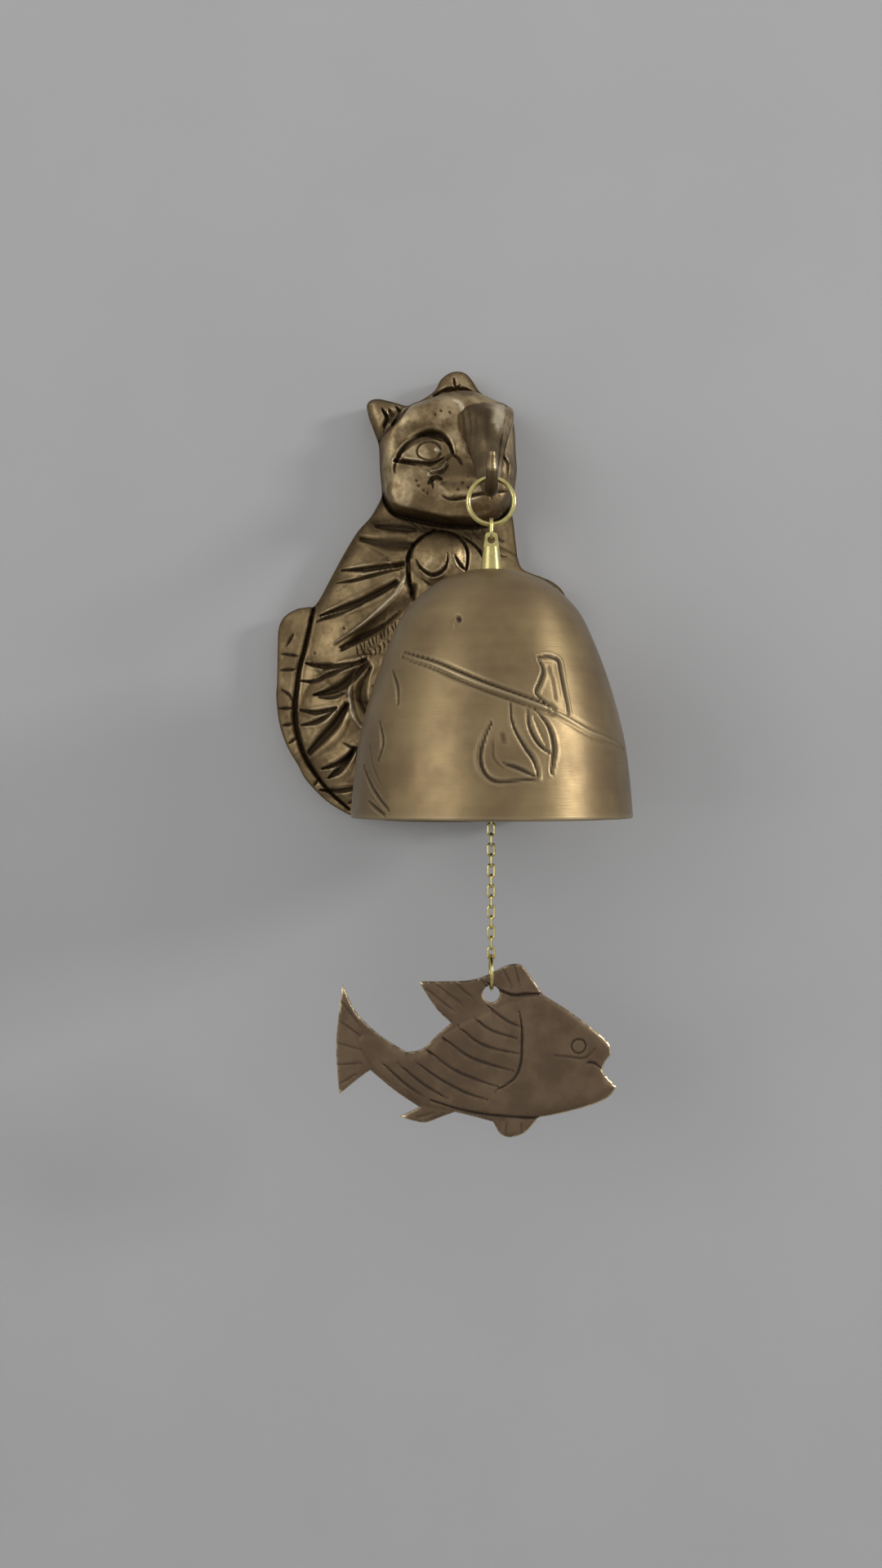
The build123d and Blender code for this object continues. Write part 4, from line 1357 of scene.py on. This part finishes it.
    def worked(self, outer: np.ndarray, turns: np.ndarray) -> tuple[np.ndarray, np.ndarray]:
        """What the marks do to the outside.

        Args:
            outer: the outside's radii and heights.
            turns: the columns' angles.

        Returns:
            How far each row and column stands out, and how stained it is.
        """
        shape = (len(outer), len(turns))
        angle, row = np.meshgrid(np.degrees(turns), np.arange(len(outer)))
        flat = np.stack([angle.ravel() * self.degree, outer[row.ravel(), 1]], axis=1)
        out, stain = np.zeros(len(flat)), np.zeros(len(flat))
        for mark in self.marks():
            mark.press(flat, out, stain)
        over_rim = outer[:, 1:]
        out = out.reshape(shape) * np.clip(over_rim / 1.5, 0, 1)
        return out, np.maximum(stain.reshape(shape), 0.5 * faded(over_rim, 0.8))

    def ring(self, turns: np.ndarray, radius: Any, high: Any) -> np.ndarray:
        """A ring of points round the bell's axis."""
        x = self.axis[0] + radius * np.sin(turns)
        y = self.axis[1] - radius * np.cos(turns)
        return np.stack([x, y, np.broadcast_to(self.rim_z + high, len(turns))], axis=1)

    def build(self) -> bpy.types.Object:
        """Makes the bell in place of its node and dresses it."""
        outer, inner, lift = self.section()
        front = np.arange(-self.worked_to, self.worked_to, self.front_step)
        turns = np.radians(np.r_[front, np.arange(self.worked_to, 360 - self.worked_to, self.back_step)])
        rows, count = len(outer), len(turns)
        out, stain = self.worked(outer, turns)
        radius = outer[:, :1] + lift[:, :1] * out
        high = outer[:, 1:] + lift[:, 1:] * out
        radius[-1] -= self.rim_ease
        ceiling = self.height - self.wall
        levels = [(self.bore, self.height), *zip(radius, high), *inner[::-1][:: self.inside_every]]
        levels += [(inner[0][0], ceiling), (self.bore, ceiling)]
        rings = [self.ring(turns, *level) for level in levels]
        faces = shell_rows(rings, False)
        last = (len(rings) - 1) * count
        faces += [[last + i, last + (i + 1) % count, (i + 1) % count, i] for i in range(count)]
        bell = new_object("spun_bell", np.vstack(rings), faces)
        keep_in(bell, "bell")
        traces = np.zeros(len(rings) * count)
        traces[count : count * (rows + 1)] = stain.ravel()
        traces[count * (rows + 1) :] = self.inside_stain
        leave_trace(bell, Trace.STAIN_AND_SHADE, traces)
        trace_relief(bell, 3.0)
        bell.data.materials.append(SpunBrass().material())
        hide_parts("bell")
        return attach(bell, "bell")


@dataclass
class HangingFish:
    """The fish that catches the wind: a flat casting with a thicker body, fins and curved scale rows."""

    hole: Triple = (11.0, -50.0, -143.833)
    hole_radius: float = 2.1
    level: float = -35.3467
    # Half the thickness of the fins, of the body and of the thinnest place
    fin: float = 0.75
    body_half: float = 1.2
    least: float = 0.3
    edge_gap: float = 0.45
    inner_gap: float = 0.38
    # The bend in degrees from which an edge is crisp
    crisp_from: float = 50.0
    # How worn the edges are, and how worn they are from the snout's start on
    edge_wear: float = 0.4
    snout_wear: float = 0.95
    snout_from: float = 24.0
    # The outline, each run smooth and meeting the next at a corner
    runs: tuple[Route, ...] = (
        ((10.3, 7.1), (17.8, 7.5), (25.5, 7.3), (30.1, 6.7), (32.1, 4.8)),
        ((32.1, 4.8), (32.0, 2.6), (32.3, 0.6)),
        ((32.3, 0.6), (34.6, -0.2), (37.8, -0.8)),
        ((37.8, -0.8), (37.4, -4.4), (34.2, -9.3), (29.5, -14.8), (26.7, -17.6)),
        ((26.7, -17.6), (26.1, -22.4), (24.1, -25.3), (21.4, -26.3), (18.2, -24.9)),
        ((18.2, -24.9), (13.9, -26.5), (9.3, -28.3)),
        ((9.3, -28.3), (7.1, -31.5), (4.6, -34.8), (-0.8, -37.0)),
        ((-0.8, -37.0), (1.8, -32.3)),
        ((1.8, -32.3), (-5.5, -32.5), (-13.3, -31.9)),
        ((-13.3, -31.9), (-14.4, -35.2), (-16.0, -41.0)),
        ((-16.0, -41.0), (-19.4, -37.0), (-23.4, -31.9), (-26.5, -26.7), (-30.7, -19.0)),
        ((-30.7, -19.0), (-25.1, -22.2), (-20.4, -23.4), (-14.8, -23.8), (-8.5, -23.4)),
        ((-8.5, -23.4), (-5.9, -20.6), (-4.9, -15.8), (-3.8, -11.3)),
        ((-3.8, -11.3), (-8.9, -10.5), (-16.0, -7.7)),
        ((-16.0, -7.7), (-6.9, -1.0), (-3.4, 3.2), (-0.8, 7.9), (1.8, 9.9), (4.9, 9.1), (10.3, 7.1)),
    )
    body: Route = (
        (10.3, 6.7), (17.8, 7.1), (25.5, 6.9), (29.9, 6.1), (31.7, 3.4), (34.2, -0.8), (37.0, -1.4),
        (33.8, -8.7), (26.7, -17.0), (18.2, -24.0), (9.3, -27.9), (1.0, -31.5), (-6.9, -31.5),
        (-14.4, -30.7), (-19.8, -27.3), (-16.8, -24.5), (-8.5, -24.0), (-4.9, -20.4), (-4.0, -15.8),
        (-1.4, -9.5), (1.8, -4.2), (5.9, 2.4),
    )

    def marks(self) -> list[Mark]:
        """The scale rows, the gill, the eye, the belly line and the rays of the fins."""
        around = np.linspace(0, 2 * math.pi, 13)
        eye = tuple((24.4 + 1.7 * math.cos(a), 2.0 + 1.7 * math.sin(a)) for a in around)
        scales = lines(
            0.5, 0.34,
            ((-5.0, -19.9), (2.7, -20.1), (8.3, -19.0), (14.4, -17.2)),
            ((-3.6, -15.3), (3.7, -15.4), (8.8, -14.2), (15.2, -11.9)),
            ((-2.6, -10.8), (3.7, -11.3), (8.3, -10.2), (14.0, -7.6)),
            ((0.7, -2.9), (6.8, -3.0), (10.4, -2.2)),
            ((-6.0, -23.7), (0.7, -23.9), (8.3, -23.0), (14.0, -21.2)),
            ((-0.4, -6.9), (4.7, -7.1), (11.4, -5.0)), ((-9.0, -26.6), (-1.0, -27.2), (6.0, -26.6)),
            ((-12.5, -28.6), (-5.0, -29.6), (1.0, -29.6)),
            lip=0.1, stain=0.8,
        )
        belly = Mark(((33.4, -11.6), (26.5, -17.8), (21.9, -20.8),
                      (15.9, -24.3), (9.8, -27.1), (2.7, -29.3)),
                     0.55, 0.5, (0.3, 0.5))
        gill = Mark(((7.8, 0.6), (10.4, -2.0), (13.0, -5.6), (15.4, -9.5), (16.2, -13.5), (14.2, -18.6)),
                    0.55, 0.4, lip=0.12)
        face = [
            Mark(eye, 0.32, 0.35, (1.0, 1.0)),
            Mark(((24.2, 2.0), (24.6, 2.0)), 0.8, -0.2, (1.0, 1.0), stain=0.0),
            Mark(((20.6, -3.4), (23.6, -1.6), (27.2, 0.6), (28.0, 4.0)), 0.4, 0.28, stain=0.7),
            Mark(((32.0, 0.9), (29.6, 0.8), (28.2, -0.2)), 0.45, 0.4),
            Mark(((-3.0, 1.6), (3.7, 2.6), (6.8, 4.9), (9.8, 7.2)), 0.5, 0.5, lip=0.1),
        ]
        rays = [
            ((-1.0, 6.6), (3.0, 4.4)), ((0.8, 8.8), (4.6, 5.6)), ((-4.0, 1.6), (0.0, 0.2)),
            ((-8.4, -2.8), (-2.0, -3.4)), ((-12.4, -5.8), (-3.0, -6.0)), ((-13.6, -8.0), (-4.0, -8.6)),
            ((-17.4, -39.0), (-15.0, -33.4)), ((-20.2, -35.2), (-15.6, -31.4)),
            ((-23.2, -31.0), (-17.6, -29.0)), ((-26.0, -26.4), (-19.6, -26.6)),
            ((-28.4, -22.4), (-21.4, -24.6)), ((25.4, -23.4), (23.6, -20.6)),
            ((22.4, -25.6), (20.8, -22.8)), ((2.4, -34.8), (5.6, -31.0)), ((5.4, -33.0), (7.6, -29.8)),
        ]
        return scales + [belly, gill] + face + lines(0.35, 0.2, *rays, ends=(0.8, 0.3), stain=0.6)

    def build(self) -> bpy.types.Object:
        """Makes the fish in place of its node and dresses it."""
        outline = np.vstack([evenly(curve_through(run, 6), self.edge_gap)[:-1] for run in self.runs])
        hole = circle(self.hole_radius, 36)
        clear = self.hole_radius + 0.25
        sheet = Sheet.cut([outline, hole], lattice(outline, self.inner_gap, lambda p: np.hypot(*p.T) > clear))
        flat = sheet.points
        line = evenly(curve_through(self.body, closed=True), 0.6, True)
        far, within = reach_of(flat, line, True)[0], inside(flat, line)
        edge = np.minimum(reach_of(flat, outline, True)[0], np.hypot(*flat.T) - self.hole_radius)
        half = self.fin - 0.3 + rounded(edge, 0.7, 0.3)
        half += np.where(within, rounded(far, 2.4, self.body_half - self.fin), 0.0)
        stain = np.zeros(len(half))
        for mark in self.marks():
            mark.press(flat, half, stain)
        half = np.clip(half + 0.03 * rough_cast(flat, 2.0, 5.0), self.least, self.body_half)
        turn = math.radians(self.level)
        x = self.hole[0] + flat[:, 0] * math.cos(turn) - flat[:, 1] * math.sin(turn)
        z = self.hole[2] + flat[:, 0] * math.sin(turn) + flat[:, 1] * math.cos(turn)
        faces = sheet.faces.tolist() + (sheet.faces[:, ::-1] + len(flat)).tolist()
        for rim, way in zip(sheet.rims, (1, -1)):
            for a, b in zip(rim, np.roll(rim, -1)):
                faces.append([b, a, a + len(flat), b + len(flat)][::way])
        sides = [np.stack([x, self.hole[1] + side * half, z], axis=1) for side in (-1, 1)]
        fish = new_object("hanging_fish", np.vstack(sides), faces)
        keep_in(fish, "fish")
        crisp(fish, self.crisp_from)
        leave_trace(fish, Trace.STAIN_AND_SHADE, np.r_[stain, stain])
        worn = faded(edge, 0.5) * np.where(flat[:, 0] > self.snout_from, self.snout_wear, self.edge_wear)
        trace_relief(fish, 1.8, 2, np.r_[worn, worn])
        fish.data.materials.append(DarkBrass().material())
        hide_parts("fish")
        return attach(fish, "fish")


@dataclass
class Fittings:
    """The rings, links, rod, stud and nut, which keep their own shapes and get their finishes."""

    bright: tuple[str, ...] = (
        "hook_ring", "bell_link", "bell_crown", "crown_nut", "clapper_rod", "fish_ring",
    )
    links: int = 14
    nodes: dict[str, bpy.types.Object] = field(default_factory=dict)

    def dress(self) -> list[str]:
        """Gives each fitting its finish and returns the nodes' names."""
        wire = WireBrass().material()
        names = [*self.bright, *(f"chain_link_{n + 1:02d}" for n in range(self.links))]
        for name in names:
            self.paint(self.nodes[name], wire)
        self.paint(self.nodes["clapper"], SpunBrass(name="turned_clapper_brass", brushed=0.3).material())
        return [*names, "clapper"]

    def paint(self, obj: bpy.types.Object, material: bpy.types.Material) -> None:
        """Puts one material on all of a node."""
        obj.data.materials.clear()
        obj.data.materials.append(material)


@dataclass(frozen=True)
class Lamp:
    """A square soft lamp that looks at the bell: where its light comes from, its distance, side and watts."""

    name: str
    way: Triple
    far: float
    size: float
    power: float
    aim: Triple = (0.0, -30.0, -70.0)

    def hang(self) -> None:
        """Hangs the lamp in the room."""
        light = bpy.data.lights.new(self.name, "AREA")
        light.size, light.energy = self.size * MM, self.power
        lamp = bpy.data.objects.new(self.name, light)
        aim = Vector(self.aim) * MM
        lamp.location = aim + Vector(self.way).normalized() * self.far * MM
        lamp.rotation_euler = (lamp.location - aim).to_track_quat("Z", "Y").to_euler()
        bpy.context.scene.collection.objects.link(lamp)


@dataclass
class Room:
    """The pale wall, the pale floor, the lamps and the camera."""

    lamps: tuple[Lamp, ...] = (
        Lamp("key", (2.28, -1.0, 0.72), 1500.0, 240.0, 6.4),
        Lamp("fill", (-1.0, -1.0, 0.25), 1700.0, 1000.0, 4.8),
        Lamp("behind", (0.4, 1.0, 0.7), 1700.0, 900.0, 6.0),
    )
    daylight: Colour = (0.6, 0.6, 0.605)
    camera_place: Triple = (-1.16, -337.0, -92.96)
    # The camera's focal length and the picture's height, both in picture points
    focal: float = 1450.0
    picture_height: int = 1920
    sensor: float = 24.0
    half_width: float = 1500.0
    top: float = 1500.0
    floor_z: float = -345.0
    floor_near: float = -1600.0
    floor_far: float = 1200.0
    floor_colour: Colour = (0.5, 0.5, 0.5)
    # How far the wall is behind the casting's back, and how far its opening is inside the casting's outline
    wall_behind: float = 0.05
    inset: float = 0.25

    def build(self, outline: Route) -> None:
        """Builds the room.

        Args:
            outline: the casting's outline, behind which the wall is open, so that light reaches its back.
        """
        self.wall(outline)
        self.floor()
        for lamp in self.lamps:
            lamp.hang()
        world = bpy.data.worlds.new("room_light")
        world.use_nodes = True
        world.node_tree.nodes["Background"].inputs["Color"].default_value = (*self.daylight, 1)
        bpy.context.scene.world = world
        bpy.context.scene.view_settings.view_transform = "Standard"
        self.camera()

    def wall(self, outline: Route) -> bpy.types.Object:
        """The wall with its opening behind the casting."""
        ring = evenly(curve_through(outline, closed=True), 1.5, True)
        inward = np.roll(ring, -1, axis=0) - np.roll(ring, 1, axis=0)
        inward = np.stack([-inward[:, 1], inward[:, 0]], axis=1) / np.linalg.norm(inward, axis=1)[:, None]
        opening = ring + self.inset * inward
        if not inside(opening, ring).all():
            opening = ring - self.inset * inward
        w, low, high = self.half_width, self.floor_z, self.top
        corners = np.array([(-w, low), (w, low), (w, high), (-w, high)])
        sheet = Sheet.cut([corners, opening], np.zeros((0, 2)), True)
        x, z = sheet.points.T
        places = np.stack([x, np.full(len(x), self.wall_behind), z], axis=1)
        wall = new_object("wall", places, sheet.faces, False)
        wall.data.materials.append(Plaster().material())
        return wall

    def floor(self) -> bpy.types.Object:
        """The floor below it."""
        w, near, far, z = self.half_width, self.floor_near, self.floor_far, self.floor_z
        places = np.array([(-w, near, z), (w, near, z), (w, far, z), (-w, far, z)])
        floor = new_object("floor", places, [[0, 1, 2, 3]], False)
        floor.data.materials.append(Plaster("pale_floor", self.floor_colour, False).material())
        return floor

    def camera(self) -> None:
        """The camera that took the photograph."""
        camera = bpy.data.objects.new("camera", bpy.data.cameras.new("camera"))
        camera.data.sensor_fit = "VERTICAL"
        camera.data.sensor_height = self.sensor
        camera.data.lens = self.focal / self.picture_height * self.sensor
        camera.data.clip_start = 0.01
        camera.location = Vector(self.camera_place) * MM
        camera.rotation_euler = (math.pi / 2, 0, 0)
        bpy.context.scene.collection.objects.link(camera)
        bpy.context.scene.camera = camera


def main() -> None:
    """Builds the wind bell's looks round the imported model."""
    logging.basicConfig(level=logging.INFO, format="%(message)s")
    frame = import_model()
    cat = CastCat()
    Room().build(cat.silhouette)
    for piece in (cat.build(), BrassBell().build(), HangingFish().build()):
        piece.data.calc_loop_triangles()
        log.info("%s: %d triangles", piece.name, len(piece.data.loop_triangles))
    log.info("fittings: %s", ", ".join(Fittings(nodes=frame["nodes"]).dress()))


if __name__ == "__main__":
    main()
